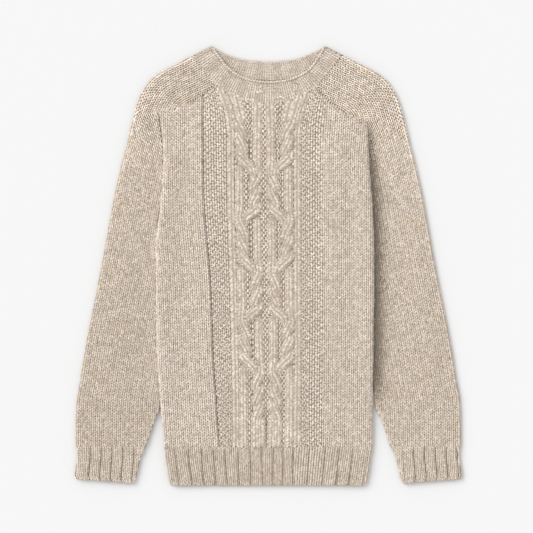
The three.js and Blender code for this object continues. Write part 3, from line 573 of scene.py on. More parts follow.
# height, middle of the panel, then for each of WALES its distance from that middle; the last two are
# given for the left and for the right side
PANEL = [
    (62, -3, 4, 21, 24, 43, 45, 52, 62, 66, 75, 88),
    (135, -2.8, 4.5, 22, 24.5, 43.5, 45.5, 52.5, 62, 65, 80.2, 88.8),
    (198, -3, 4.5, 22.5, 24.5, 44.5, 46, 53.5, 64, 66, 84.5, 89.5),
    (310, -4.6, 4.6, 23, 25, 45.5, 47, 54.5, 67, 68.5, 87.4, 91.6),
    (455, -6.5, 4.6, 23.5, 25.5, 46.5, 48.5, 56.5, 70, 70, 96.5, 93.5),
    (545, -6.8, 4.6, 22, 26.5, 47, 48.5, 56.5, 71, 71, 97.2, 94.8),
    (575, -7, 5, 20, 30, 50.5, 52.5, 60.5, 73.5, 76, 97, 97),
    (607, -7.5, 5, 18, 37, 64, 67, 75, 82.5, 86, 96.5, 99.5),
]
NECK_SEAM_FRONT = [
    (-84.5, 641), (-70, 630), (-57, 623), (-38, 615), (0, 609.6), (27, 613), (57, 624), (77, 637),
]
# soft ridges and troughs in the laid cloth: start, end, half width and height, in millimetres
FOLDS = [
    (-150, 575, -112, 520, 16, 1.6),
    (-158, 545, -128, 455, 13, -1.3),
    (-132, 430, -118, 250, 18, 1.1),
    (-150, 300, -138, 140, 12, -1.0),
    (-120, 170, -104, 70, 15, 1.3),
    (-142, 120, -150, 40, 9, -1.0),
    (118, 560, 136, 480, 14, 1.5),
    (140, 520, 128, 400, 12, -1.2),
    (112, 380, 128, 230, 17, 1.2),
    (139, 260, 132, 120, 12, -1.1),
    (108, 190, 116, 60, 14, 1.3),
    (-30, 120, -10, 70, 14, 0.9),
    (40, 110, 58, 66, 13, 1.0),
    (-205, 560, -236, 420, 15, 1.3),
    (-232, 470, -214, 360, 12, -1.0),
    (-226, 330, -262, 190, 15, 1.2),
    (-262, 250, -245, 140, 12, -1.0),
    (-290, 170, -262, 90, 12, 1.0),
    (182, 608, 160, 582, 5, 1.2),
    (206, 560, 224, 430, 15, 1.4),
    (214, 400, 246, 300, 13, -1.1),
    (252, 330, 268, 200, 14, 1.3),
    (240, 200, 262, 100, 12, -1.0),
    (-160, 640, -188, 600, 12, 1.0),
    (150, 642, 190, 606, 12, 1.1),
]


def lie(x, up):
    """Height of the laid cloth's unevenness at a place."""
    height = 0.35 * np.sin(x / 31 + up / 57 + 1) * np.sin(up / 43 - x / 71)
    for x0, up0, x1, up1, width, rise in FOLDS:
        length = math.hypot(x1 - x0, up1 - up0)
        direction = ((x1 - x0) / length, (up1 - up0) / length)
        along = ((x - x0) * direction[0] + (up - up0) * direction[1]) / length
        bow = 0.12 * length * np.sin(np.clip(along, 0, 1) * math.pi)
        aside = (x - x0) * direction[1] - (up - up0) * direction[0] - bow
        ends = ease((along + 0.25) / 0.5) * ease((1.25 - along) / 0.5)
        height = height + rise * ends * bell(aside, 0, width)
    return height


def front_top(x):
    """Height of the front's top edge: the neckband's seam between the two raglan seams."""
    x = np.asarray(x, float)
    top = read(NECK_SEAM_FRONT, 1, x)
    top = np.where(x < NECK_SEAM_FRONT[0][0], read(RAGLAN_LEFT, 1, -x), top)
    return np.where(x > NECK_SEAM_FRONT[-1][0], read(RAGLAN_RIGHT, 1, x), top)


def wale_across(side, place, up):
    """Where a column of the panel lies across the body. Place and height are both one number a row."""
    columns = [2, 3, 4, 5, 6, 7, 8 if side < 0 else 9, 10 if side < 0 else 11]
    marks = np.vstack([np.zeros_like(up), *[read(PANEL, column, up) for column in columns]])
    place = np.broadcast_to(place, up.shape)
    found = np.clip(np.searchsorted(WALES, place, side="left"), 1, len(WALES) - 1)
    lanes = np.arange(len(up))
    low, high = np.array(WALES)[found - 1], np.array(WALES)[found]
    part = (place - low) / (high - low)
    return read(PANEL, 1, up) + side * mix(marks[found - 1, lanes], marks[found, lanes], part)


def no_relief(x, y):
    return 0 * x, 0 * x


def side_lanes(side, y_of, relief, slope):
    """Columns from the flat front over the roll at the body's edge and back on the surface to the seam:
    how far each lies inwards from the edge, its height, the way out of the cloth, and if it lies under."""
    level = y_of(underarm(side))
    wave = 0.98 + 0.02 * np.sin(level / 23 + side) + 0.02 * np.sin(level / 9.5 + 2 * side)
    radius = read(BODY, 3, level) / 2 * np.clip(wave, 0.95, 1.0)
    edge = body_edge(side, level) - 0.2 + 0.2 * np.sin(level / 17 + 2 * side) - 3 * ease(1 - level / 6)
    lanes = []
    for part in np.linspace(0, 0.92, slope):
        lanes.append((mix(SIDE_SLOPE, radius, part), mix(FLAT_HEIGHT, 2 * radius, ease(part)), 0, 1, False))
    for turn in np.linspace(0, math.pi, 15):
        out, upward = math.sin(turn), math.cos(turn)
        lanes.append((radius * (1 - out), radius * (1 + upward), out, upward, turn > 3))
    for inward in (15, SIDE_RETURN):
        lanes.append((np.full_like(radius, inward), 0 * radius, 0, -1, True))
    for k, (inward, height, out, upward, under) in enumerate(lanes):
        x = side * (edge - inward)
        y = y_of(back_top(x) if under else front_top(x))
        flat = ease((slope - k) / slope)
        rise, groove = relief(x, y)
        seen = max(upward, 0)
        height = height + flat * lie(x, y) + seen * rise
        outer = np.stack([x, y, height], -1)
        inner = np.stack([x - side * WALL * out, y, height - WALL * upward], -1)
        # painted light on the rolls: the picture-left roll, which faces the lamp, gets a painted highlight
        # through a mark below zero, and the picture-right roll gets painted shade
        pale = (0.36 if side < 0 else -0.17) * out * ease((level - 70) / 40)
        yield outer, inner, seen * groove - pale


def even_count(x):
    return x / STITCH_WIDTH


def front_sheet(name, y_of, middle, relief=no_relief, count=even_count, count_row=12, fixed=0, slope=12):
    """Joins the left side, the middle columns and the right side into one wall of cloth. Each column is an
    outer line, an inner line and its groove and shade mark, which paints shade into grooves. Count turns a
    place across into a number of stitches; it holds all the way up, except for the fixed number of columns at
    each end, which are evenly spaced."""
    left = list(side_lanes(-1, y_of, relief, slope))[::-1]
    right = list(side_lanes(1, y_of, relief, slope))
    lanes = left + middle + right
    outer = np.stack([lane[0] for lane in lanes], 1)
    inner = np.stack([lane[1] for lane in lanes], 1)
    groove = np.stack([lane[2] for lane in lanes], 1)
    steps = np.linalg.norm(np.diff(outer[:, :, ::2], axis=1), axis=2) / STITCH_WIDTH
    first, last = len(left) + fixed, len(lanes) - len(right) - fixed
    across = np.zeros(outer.shape[:2])
    across[:, first:last] = count(outer[count_row, first:last, 0])
    for k in range(first - 1, -1, -1):
        across[:, k] = across[:, k + 1] - steps[:, k]
    for k in range(last, len(lanes)):
        across[:, k] = across[:, k - 1] + steps[:, k - 1]
    stitches = np.stack([across, outer[:, :, 1] / STITCH_HEIGHT], -1)
    # where the cloth faces up, loops lie over it and it gets painted shade
    covered = ease((outward(outer, inner)[:, :, 2] - 0.1) / 0.2)
    piece = closed_shell(name, outer, inner, stitches, groove=groove, covered=covered)
    return piece, outer, inner, stitches, groove


# The cables are strands of plain knitting that cross over each other, three on each side of the middle,
# and they change places 18 times on the way down. Each crossing moves a strand to its neighbour's place.
FIRST_CROSSING = 562
CROSSING_PITCH = 26.25
CROSSINGS = 18
OUTER_A, INNER_A, REST_A = 41.5, 31, 39
OUTER_B, INNER_B, REST_B = 19, 9.5, 11.5


def strand_moves():
    """For each strand, its place before and after each crossing, and 1 where it lies on top or -1 below.
    Six turns repeat: two in the outer pair, one inwards, two in the inner pair and one outwards."""
    moves = {"first": [], "second": [], "third": []}
    place = {"first": OUTER_A, "second": INNER_A, "third": REST_B}
    in_a, in_b = ["first", "second"], ["third"]

    def move(strand, to, over):
        moves[strand].append((place[strand], to, over))
        place[strand] = to

    for step in range(CROSSINGS):
        turn = 3 if step == CROSSINGS - 1 else step % 6
        if turn in (0, 1):
            move(in_a[0], INNER_A, 1)
            move(in_a[1], OUTER_A, -1)
            move(in_b[0], REST_B, 0)
            in_a.reverse()
        elif turn == 2:
            move(in_a[0], OUTER_B, 1)
            move(in_a[1], REST_A, -1)
            move(in_b[0], INNER_B, 0)
            in_a, in_b = [in_a[1]], [in_a[0], in_b[0]]
        elif turn in (3, 4):
            move(in_b[1], OUTER_B, 1)
            move(in_b[0], INNER_B, -1)
            move(in_a[0], REST_A, 0)
            in_b.reverse()
        else:
            move(in_b[1], INNER_A, 1)
            move(in_b[0], REST_B, -1)
            move(in_a[0], OUTER_A, 0)
            in_a, in_b = [in_a[0], in_b[1]], [in_b[0]]
    return moves


STRAND_MOVES = strand_moves()


def strand_place(strand, up):
    """Place across the panel of one strand at each height, and how far it is lifted, from -1 to 1."""
    position = np.clip((FIRST_CROSSING - up) / CROSSING_PITCH + 0.5, 0, CROSSINGS - 0.001)
    step = position.astype(int)
    part = position - step
    table = np.array(STRAND_MOVES[strand], float)[step]
    return mix(table[:, 0], table[:, 1], ease(part)), table[:, 2] * np.sin(math.pi * part)


front_row = np.linspace(0, 1, 165)
front_up = mix(HEM_DEPTH + SEAM_GAP, PANEL_TOP, front_row)


def front_y(top):
    return mix(HEM_DEPTH + SEAM_GAP, top, front_row)


def from_strand(place, up):
    """Distance across the panel from the nearest strand."""
    strands = np.array([strand_place(strand, up)[0] for strand in STRAND_MOVES])
    return np.abs(strands - place).min(axis=0)


UNDER_FRONT = FLAT_HEIGHT - WALL - 0.2
STRAND_EDGE = 7.2
MIDDLE_CREASE_TOP = 125
# narrow grooves all the way up the panel: place, depth, width; the depth both carves them and paints shade
# into them
PANEL_GROOVES = [(47.2, 0.2, 0.9), (57, 0.3, 0.9)]
middle, panel_marks = [], []
panel_places = np.concatenate([np.arange(0, 91, 1.7), [91.4, 92.2, 92.7, 93]])
plain_parts = np.concatenate([[0.01, 0.022, 0.04], np.linspace(0.1, 0.92, 9)])
for side in (-1, 1):
    lanes = []
    # the line at the moss panel's outer edge, the strands' edges and the middle crease are carved in and
    # darkened with painted shade through the same mark
    border = mix(1.15, 1.0, ease((front_up - 250) / 250)) if side < 0 else 0.35
    for place in panel_places:
        x = wale_across(side, place, front_up)
        low = sum(depth * bell(place, at, width) for at, depth, width in PANEL_GROOVES)
        low = low + border * bell(place, MOSS[1], 1.2 if side < 0 else 1.0)
        low = low + 0.2 * bell(from_strand(place, front_up), STRAND_EDGE, 1.3) * (place < CABLE_GROUND)
        low = low + 0.8 * bell(place, 0, 1.2) * ease((MIDDLE_CREASE_TOP - front_up) / 14)
        lanes.append((x, low * ease((1.01 - front_row) / 0.02), place))
    start = np.abs(wale_across(side, MOSS[1], front_up))
    for part in plain_parts:
        x = side * mix(start, body_edge(side, front_y(underarm(side))) - 0.5 - SIDE_SLOPE, part)
        low = border * bell(np.abs(x), start, 1.0)
        lanes.append((x, low, MOSS[1] + 10 * part))
    finished = []
    for x, low, place in lanes:
        y = front_y(front_top(x))
        edge = 0.5 * ease((front_row - 0.993) / 0.007)
        on_raglan = np.where(x < 0, -x > RAGLAN_LEFT[0][0], x > RAGLAN_RIGHT[0][0])
        # along the raglan seams the top edge is carved down and gets painted shade too
        low = low + 0.35 * on_raglan * ease((front_row - 0.99) / 0.009)
        z = FLAT_HEIGHT + lie(x, y) - 1.6 * low - edge
        inside = np.stack([x, y, np.full_like(z, UNDER_FRONT)], -1)
        finished.append((np.stack([x, y, z], -1), inside, low, place))
    finished = finished[::-1] if side < 0 else finished[1:]
    middle += [lane[:3] for lane in finished]
    panel_marks += [lane[3] for lane in finished]
front_panel, outer, inner, stitches, groove = front_sheet(
    "front_panel", front_y, middle, count_row=-8, fixed=len(plain_parts))
counted(front_panel, "plain_wool", plain_wool, "front")
roll_lanes = (outer.shape[1] - len(panel_marks)) // 2
panel_place = np.pad(panel_marks, roll_lanes, constant_values=MOSS[1] + 10)
front_places = stitch_places(outer, inner, stitches, groove=groove, place=panel_place[None, :])
stitch_up = front_places["spot"][:, 1]
from_side = front_places["place"]
level_part = (stitch_up - HEM_DEPTH) / (front_top(front_places["spot"][:, 0]) - HEM_DEPTH)
stitch_level = mix(HEM_DEPTH, PANEL_TOP, level_part)
strand_reach = mix(4.9, 4.2, ease((stitch_level - 550) / 20))
clear_of_strands = from_strand(from_side, stitch_level) > strand_reach
every_other = (front_places["half"] // 2 + front_places["row"]) % 2 == 0
moss_side = (from_side > MOSS[0]) & (from_side < MOSS[1] - 0.5)
# where the columns draw together, only one purl loop in four is left
spaced = (front_places["wide"] > 0.45) | (front_places["half"] % 4 == 0)
ground = spaced & (from_side < CABLE_GROUND + 0.5) & clear_of_strands
plain_side = from_side >= MOSS[1] - 0.5
left_side = front_places["spot"][:, 0] < 0
# painted light and shade: the picture-left side's loops are made a little lighter and the picture-right
# side's a little darker
front_stitches = [
    loops("right_side_stitches", "plain_wool", plain_yarn, front_places, plain_side & left_side, size=1.01,
          tone=0.08),
    loops("left_side_stitches", "plain_wool", plain_yarn, front_places, plain_side & ~left_side, size=1.01,
          tone=-0.05),
    loops("moss_stitches", "plain_wool", plain_yarn, front_places, moss_side & ~every_other, sink=0.5,
          size=0.95, tone=0.25, slant=0.42, loose=1.3),
    loops("moss_purls", "plain_wool", plain_yarn, front_places, moss_side & every_other, purl=True, sink=0.5,
          size=0.97, tone=0.35, loose=1.2),
    loops("purl_stitches", "plain_wool", plain_yarn, front_places, ground, purl=True, sink=-0.25, size=1.17,
          tone=0.42),
]


STRAND_LINES = 11
# painted shade of the strands' own surface, seen in the gaps between their loops
STRAND_GAP_SHADE = -0.17


def strand_mesh(x, up, half_width, crown, lift, wales):
    """One long rounded strand on the front: its points, faces and stitch places. The widest part of it
    sits in the ground, so that it grows out of the knitting."""
    part = (up - HEM_DEPTH - SEAM_GAP) / (PANEL_TOP - HEM_DEPTH - SEAM_GAP)
    y = mix(HEM_DEPTH + SEAM_GAP, front_top(x), part)
    ground = FLAT_HEIGHT + lie(x, y)
    ahead = np.stack([np.gradient(x), np.gradient(y)], -1)
    length = np.linalg.norm(ahead, axis=1)
    aside = np.stack([-ahead[:, 1], ahead[:, 0]], -1) / length[:, None]
    turns = np.linspace(-1, 1, STRAND_LINES)
    offset = np.concatenate([np.sin(turns * math.pi / 2), [0.8, -0.8]])
    over = np.concatenate([np.cos(turns * math.pi / 2) ** 0.75, [-0.35, -0.35]])
    wide = np.concatenate([turns * wales / 2, [wales / 2, -wales / 2]])
    points = np.zeros((len(x), len(offset), 3))
    reach = half_width[:, None] * offset
    points[:, :, 0] = x[:, None] + aside[:, :1] * reach
    points[:, :, 1] = y[:, None] + aside[:, 1:] * reach
    points[:, :, 2] = (ground + lift)[:, None] + crown[:, None] * over - 0.3
    run = np.cumsum(length) / STITCH_HEIGHT
    stitches = np.zeros((*points.shape[:2], 2))
    stitches[:, :, 0] = wide
    stitches[:, :, 1] = run[:, None]
    rings = np.arange(points.shape[0] * points.shape[1]).reshape(points.shape[:2])
    wrapped = np.hstack([rings, rings[:, :1]])
    corners = [wrapped[:-1, :-1], wrapped[1:, :-1], wrapped[1:, 1:], wrapped[:-1, 1:]]
    faces = np.stack(corners, -1).reshape(-1, 4).tolist()
    faces += [rings[0].tolist(), rings[-1][::-1].tolist()]
    upper = points[:, :STRAND_LINES]
    # painted shade on the strand's sides and where it passes under its neighbour
    groove = 0.42 * np.abs(turns) ** 4 + 0.3 * np.clip(-lift, 0, 2)[:, None]
    below = upper - (0, 0, 1)
    strand_stitches.append(stitch_places(upper, below, stitches[:, :STRAND_LINES], groove=groove))
    return points.reshape(-1, 3), faces, stitches.reshape(-1, 2)


def joined(name, parts):
    """Several closed meshes as one object, turned so that their faces look outwards."""
    mesh = bpy.data.meshes.new(name)
    points, faces, stitches = [], [], []
    for part_points, part_faces, part_stitches in parts:
        first = sum(len(group) for group in points)
        centre = part_points.mean(axis=0)
        shifted = part_points - centre
        volume = sum(
            np.dot(shifted[face[0]], np.cross(shifted[face[k]], shifted[face[k + 1]]))
            for face in part_faces for k in range(1, len(face) - 1)
        )
        faces += [[first + k for k in (face if volume > 0 else face[::-1])] for face in part_faces]
        points.append(part_points)
        stitches.append(part_stitches)
    places = np.vstack(points)
    places[:, 1] -= BODY_LENGTH / 2
    stitches = np.vstack(stitches)
    mesh.from_pydata((places / 1000).tolist(), [], faces)
    mesh.polygons.foreach_set("use_smooth", np.ones(len(faces), bool))
    corners = np.array([corner for face in faces for corner in face])
    mesh.uv_layers.new(name="stitches").data.foreach_set("uv", stitches[corners].astype(np.float32).ravel())
    # the strands' own surface is darkened with painted shade, seen between the loops
    shade = mesh.attributes.new("shade", "FLOAT", "POINT")
    shade.data.foreach_set("value", np.full(len(places), STRAND_GAP_SHADE, np.float32))
    piece = bpy.data.objects.new(name, mesh)
    bpy.context.scene.collection.objects.link(piece)
    return piece


strand_up = np.linspace(HEM_DEPTH + SEAM_GAP, PANEL_TOP, 330)
strand_parts, strand_stitches = [], []
for side in (-1, 1):
    for strand in STRAND_MOVES:
        place, lifted = strand_place(strand, strand_up)
        x = wale_across(side, place, strand_up)
        near_neck = ease((strand_up - 552) / 40)
        half_width = mix(6.9, 8.6, near_neck) + np.where(lifted > 0, 1.3, 0.8) * lifted
        crown = mix(2.1, 1.5, near_neck)
        strand_parts.append(strand_mesh(x, strand_up, half_width, crown, 1.7 * lifted, 2))
    x = wale_across(side, SINGLE_COLUMN, strand_up)
    half_width, crown = np.full_like(x, 4.4), np.full_like(x, 1.2)
    strand_parts.append(strand_mesh(x, strand_up, half_width, crown, 0 * x, 1))
cable_strands = joined("cable_strands", strand_parts)
counted(cable_strands, "plain_wool", plain_yarn)
cable_places = {}
for key in strand_stitches[0]:
    cable_places[key] = np.concatenate([table[key] for table in strand_stitches])
cable_stitches = loops("cable_stitches", "plain_wool", plain_yarn, cable_places, sink=0.65, size=1.12,
                       slant=0.5, loose=1.5, tone=-0.18, differ=1.1)


# The front's hem is a ribbed band knitted on below the panel: flat ribs with a narrow groove between them.
# It rolls over at both edges like the panel above.
HEM_GROOVES = [
    -147, -125, -105.5, -86.3, -67.7, -47.7, -28.7, -9.8, 7.8, 23, 39.8, 64, 88.7, 110.9, 132.5, 155.5,
]
RIB_DEPTH = 1.9


def rib_form(distance):
    """Depth below a rib's top, from 0 to 1, at a distance from the middle of the groove."""
    return bell(distance, 0, 1.5)


HEM_RISE = 0.9
HEM_BEGIN = 7
hem_up = HEM_DEPTH * np.linspace(0, 1, 24)


def hem_relief(x, up):
    """Rise of the hem's ribs, which start gently below the panel, and their groove and shade mark, which
    paints shade into the grooves.
    """
    taper = body_edge(-1, up) / body_edge(-1, 31)
    sway = 0.5 * np.sin(up / 14 + np.arange(len(HEM_GROOVES))[:, None] * 2)
    grooves = np.array(HEM_GROOVES)[:, None] * taper + sway
    low = rib_form(np.abs(grooves - x).min(axis=0))
    begun = ease((HEM_DEPTH - up) / HEM_BEGIN)
    return HEM_RISE * begun - 0.8 * RIB_DEPTH * low * begun - 0.8 * ease(1 - up / 4), 0.5 * low * begun


def hem_count(x):
    """Number of the stitch at a place across the hem: three in each rib."""
    numbers = 3.0 * np.arange(len(HEM_GROOVES))
    beyond = np.where(x < HEM_GROOVES[0], x - HEM_GROOVES[0], np.maximum(x - HEM_GROOVES[-1], 0))
    return np.interp(x, HEM_GROOVES, numbers) + beyond / STITCH_WIDTH


middle = []
for share in np.linspace(0, 1, 242):
    left = SIDE_SLOPE + 0.5 - body_edge(-1, hem_up)
    right = body_edge(1, hem_up) - SIDE_SLOPE - 0.5
    x = mix(left, right, share)
    rise, low = hem_relief(x, hem_up)
    z = FLAT_HEIGHT + lie(x, hem_up) + rise
    inside = np.stack([x, hem_up, np.full_like(x, UNDER_FRONT)], -1)
    middle.append((np.stack([x, hem_up, z], -1), inside, low))
front_hem, outer, inner, stitches, groove = front_sheet(
    "front_hem", lambda top: hem_up, middle, hem_relief, hem_count, slope=44)
counted(front_hem, "rib_wool", rib_wool, "hem_front")
hem_places = stitch_places(outer, inner, stitches, groove=groove)
hem_stitches = loops("hem_stitches", "rib_wool", rib_yarn, hem_places, slant=0.24, size=1.16, tone=-0.25,
                     loose=0.7, differ=0.8)

# Each sleeve is a plain knitted tube, flattened with one fold along its outside. Its top is joined to the
# front and the back on the raglan seams, and below the underarm it lies against the body's roll.
FOLD_RADIUS = FLAT_HEIGHT / 2
SLANTED_GAP = 0.05
SLEEVE_LIFT = 2.4
# middle of the outer fold: across and up; then how far along the raglan seam the section ends, or the
# height of the inner edge, and its distance from the middle where it leaves the body
SLEEVE = [
    (116, 684.8, 0, None, None),
    (139.7, 671.9, 0.18, None, None),
    (163.3, 660, 0.38, None, None),
    (186, 643.5, 0.6, None, None),
    (203.6, 615, 0.82, None, None),
    (211.7, 588.8, 1, None, None),
    (221.3, 550.5, None, 562, None),
    (237.3, 486.5, None, 498, None),
    (250, 422.5, None, 432, None),
    (261.4, 358.6, None, 366, None),
    (274, 294.6, None, 300, None),
    (286.8, 230.7, None, 234, None),
    (297.2, 166.8, None, 168, None),
    (302.8, 134, None, 131, None),
    (304.2, 98, None, 100, 182.5),
    (304.4, 62, None, 62, 195),
]
CUFF = [
    (303.2, 62, None, 62, 195.6),
    (301.8, 48, None, 46, 203),
    (304.6, 28, None, 24, 208.5),
    (307, 10, None, 3, 213.5),
]


def beside_body(side, up):
    """Distance from the middle at which a sleeve's inner edge just clears the body's roll."""
    radius = read(BODY, 3, up) / 2
    apart = radius + FOLD_RADIUS + SEAM_GAP
    return body_edge(side, up) - radius + np.sqrt(apart ** 2 - (radius - FOLD_RADIUS) ** 2) - FOLD_RADIUS


def tube_frame(table, side, place, layer):
    """Outer fold and inner edge of a sleeve or cuff at places along its table, as distances and heights."""
    rows = []
    for k, (across, up, along_seam, inner_up, inner_across) in enumerate(table):
        if along_seam is None:
            inner = beside_body(side, inner_up) if inner_across is None else inner_across
            rows.append((k, across, up, inner, inner_up, 1))
            continue
        seam = raglan(side)
        first = seam[0][0] if layer > 0 else RAGLAN_BACK[0]
        inner = mix(first, seam[-1][0], along_seam)
        height = read(seam, 1, inner) if layer > 0 else back_top(side * inner)
        closed = 1 if along_seam == 1 else 0
        rows.append((k, across, up, inner + closed * SEAM_GAP, height + SEAM_GAP * along_seam, closed))
    fold = np.stack([read(rows, 1, place), read(rows, 2, place)], -1)
    inner = np.stack([read(rows, 3, place), read(rows, 4, place)], -1)
    closed = read(rows, 5, place)
    if table is SLEEVE:
        follows = ease((place - 5) / 0.3) * ease((12.8 - place) / 0.8)
        inner[:, 0] = mix(inner[:, 0], beside_body(side, inner[:, 1]), follows)
        if side > 0:
            inner[:, 0] += 3.6 * ease((168 - inner[:, 1]) / 30) * ease((inner[:, 1] - 96) / 36)
    reach = inner - fold
    reach /= np.linalg.norm(reach, axis=1)[:, None]
    return fold, inner - reach * (SLANTED_GAP * (1 - closed))[:, None], closed


def beside(distance, run, along, place, side):
    """Rise and groove and shade mark of a sleeve's top layer where it meets the body's roll, at a distance
    from the fold, in a layer as wide as run: the right sleeve's cloth is pushed up against the roll, and the
    left one's sinks into a deep crease, where the roll's shadow is painted as shade. Places count SLEEVE's
    rows: 5 is the underarm and 15 the wrist."""
    met = ease((place - 4.7) / (1.6 if side > 0 else 0.8)) * ease((13.8 - place) / 2.2)
    near = run - distance
    if side < 0:
        return 2.2 * met * bell(near, 0, 9), 0 * met
    crease = met * bell(near, 0, 5 + 11 * ease((place - 5) / 2.6))
    # the second value is the painted shadow that the body's roll casts into the crease
    return -2.2 * crease, 0.72 * crease


def rib_sway(place):
    """How far the cuff's fold swings inwards, so that its ribs can stay straight."""
    return 2.4 * bell(place, 1, 0.9)


def tube(name, side, table, steps, top_lanes, lower_lanes, relief, drop=0.0, rib=None):
    """A flattened tube of cloth: up its lower layer, round the fold and over its top layer. Relief gives the
    rise and the groove and shade mark of the top layer from the distance from the fold, the layer's width,
    the length along the tube, the place in its table and the side. Rib is the cuff's pitch; a sleeve has
    none."""
    last = len(table) - 1
    row = np.linspace(0, 1, steps)
    place = last * (1 - row)
    frames = {layer: tube_frame(table, side, place, layer) for layer in (1, -1)}
    for fold, inner, _closed in frames.values():
        for line in (fold, inner):
            line[:, 1] -= drop * ease((row - 0.9) / 0.1)
        if rib:
            fold[:, 0] -= 2.5 * ease(1 - row / 0.09)
            inner[:, 0] += 2.0 * ease(1 - row / 0.09)
    both = (frames[1][1] + frames[-1][1]) / 2
    fold_way = unit(frames[1][0] - both)
    centre = (frames[1][0] + frames[1][1]) / 2
    run_along = np.concatenate([[0], np.cumsum(np.linalg.norm(np.diff(centre, axis=0), axis=1))])
    lift = 0 * place if rib else SLEEVE_LIFT * ease(place / 3) * ease((last - place) / 2)
    nose = rib / 3 - 2.5 + rib_sway(place) if rib else np.full(steps, 5.0)
    outer, inner, across, grooves = [], [], [], []

    def lane(spot, height, thick_out, thick_up, distance, groove):
        inside = spot - thick_out
        outer.append(np.column_stack([side * spot[:, 0], spot[:, 1], height]))
        inner.append(np.column_stack([side * inside[:, 0], inside[:, 1], height - thick_up]))
        across.append(distance)
        grooves.append(groove)

    def across_layer(layer):
        """A layer's outer fold, the way from it to the inner edge, how far that is, and if it is closed."""
        fold, edge, closed = frames[layer]
        reach = edge - fold
        run = np.linalg.norm(reach, axis=1) - FOLD_RADIUS
        return fold, reach / (run + FOLD_RADIUS)[:, None], run, closed

    def flat_lane(layer, part):
        fold, reach, run, _closed = across_layer(layer)
        spot = fold + reach * (run * part)[:, None]
        height = np.full(steps, FOLD_RADIUS * (1 + layer))
        groove = np.zeros(steps)
        if layer > 0:
            fade = ease(part / 0.08) * ease((1 - part) / 0.08)
            raised, groove = relief(run * part, run, run_along, place, side)
            swell = lift * math.sin(math.pi * part) ** 2
            height = height + (swell + fade * lie(side * spot[:, 0], spot[:, 1]) + raised)
            thick = WALL + raised * (raised < 0)
        else:
            thick = -WALL
        lane(spot, height, 0 * spot, thick, layer * (run * part + nose), groove)

    def nose_lane(layer, part):
        fold, reach, run, closed = across_layer(layer)
        turn = part * closed * math.pi / 2
        out = FOLD_RADIUS * mix(part, np.sin(turn), closed)
        spot = fold + reach * (run + out)[:, None]
        risen, painted_crease_shadow = beside(run, run, run_along, place, side)
        full = FOLD_RADIUS + (risen if layer > 0 else 0)
        height = FOLD_RADIUS + layer * full * np.cos(turn) ** (0.1 if side < 0 else 1)
        dip = 0.4 * part * part * (1 - closed) * (layer > 0)
        thick_out = reach * (WALL * np.sin(turn))[:, None]
        # painted shade in the open gap at the raglan seam, and on the top layer the roll's painted shadow
        groove = 0.9 * part * (1 - closed) + (painted_crease_shadow if layer > 0 else 0 * run)
        lane(spot, height - dip, thick_out, WALL * layer * np.cos(turn), layer * (run + out + nose), groove)

    for part in (1, 0.66, 0.33):
        nose_lane(-1, part)
    for part in np.linspace(1, 0, lower_lanes):
        flat_lane(-1, part)
    for turn in np.linspace(math.pi, 0, 10)[1:-1]:
        radius = FOLD_RADIUS * math.sin(turn)
        spot = frames[1][0] + fold_way * radius
        height = np.full(steps, FOLD_RADIUS * (1 + math.cos(turn)))
        thick = WALL * math.cos(turn)
        lane(spot, height, fold_way * WALL * math.sin(turn), thick, nose * math.cos(turn), np.zeros(steps))
    for part in np.linspace(0, 1, top_lanes):
        flat_lane(1, part)
    for part in (0.33, 0.66, 1):
        nose_lane(1, part)
    outer, inner, grooves = np.stack(outer, 1), np.stack(inner, 1), np.stack(grooves, 1)
    width = rib / 3 if rib else STITCH_WIDTH
    along = np.repeat(run_along[:, None], len(across), 1) / STITCH_HEIGHT
    stitches = np.stack([np.stack(across, 1) / width, along], -1)
    # where the cloth faces up, loops lie over it and it gets painted shade
    covered = ease((outward(outer, inner)[:, :, 2] - 0.1) / 0.2)
    # near the shoulder the cloth between the slimmer loops gets painted shade and the loops a painted
    # highlight; further down the loops sink a little and get painted shade that darkens the sleeve towards
    # the wrist
    slim = 0 if rib else ease((7.5 - place) / 2.5)[:, None]
    piece = closed_shell(name, outer, inner, stitches, groove=grooves + 0.4 * slim, covered=covered)
    sleeve_loop_shade = 0 if rib else 0.1 * ease((place - 6) / 6)[:, None] - 0.4 * slim
    return piece, stitch_places(outer, inner, stitches, groove=grooves + sleeve_loop_shade, slim=slim)


for name, node, side in (("right_sleeve", "sleeve_right", -1), ("left_sleeve", "sleeve_left", 1)):
    sleeve, places = tube(name, side, SLEEVE, 230, 44, 16, beside)
    counted(sleeve, "plain_wool", plain_wool, node)
    # painted shade: the picture-left sleeve's loops are made a little darker
    tone = -0.12 if side < 0 else 0.0
    grown_on = loops(name + "_stitches", "plain_wool", sleeve_yarn, places, tone=tone, size=1.06)

# The cuffs are ribbed bands that close the sleeves at the wrist, knitted on in a little darker tone. Their
# ribs are wide and flat, with narrow grooves between them.
CUFF_RIB = 17.3


def cuff_relief(distance, run, along, place, side):
    """Rise of the ribs that run down the cuff, at a distance from its fold and a length along it, and their
    groove and shade mark, which paints shade into the grooves. The right cuff shows the five grooves that lie
    one rib further from its fold."""
    count = (distance + rib_sway(place) - 2.5) / CUFF_RIB + 0.015 * np.sin(along / 9)
    apart = np.abs(count - np.round(count)) * CUFF_RIB
    fade = mix(1, 0.9 if side < 0 else 0.45, ease(count - 4)) * ease((along[-1] - along) / 3)
    shown = (count > (0.5 if side < 0 else -0.4)) * (count < 5.5)
    low = rib_form(1.25 * apart) * shown * fade
    return 0.9 * ease((along[-1] - along) / 5) - RIB_DEPTH * low, 0.85 * low


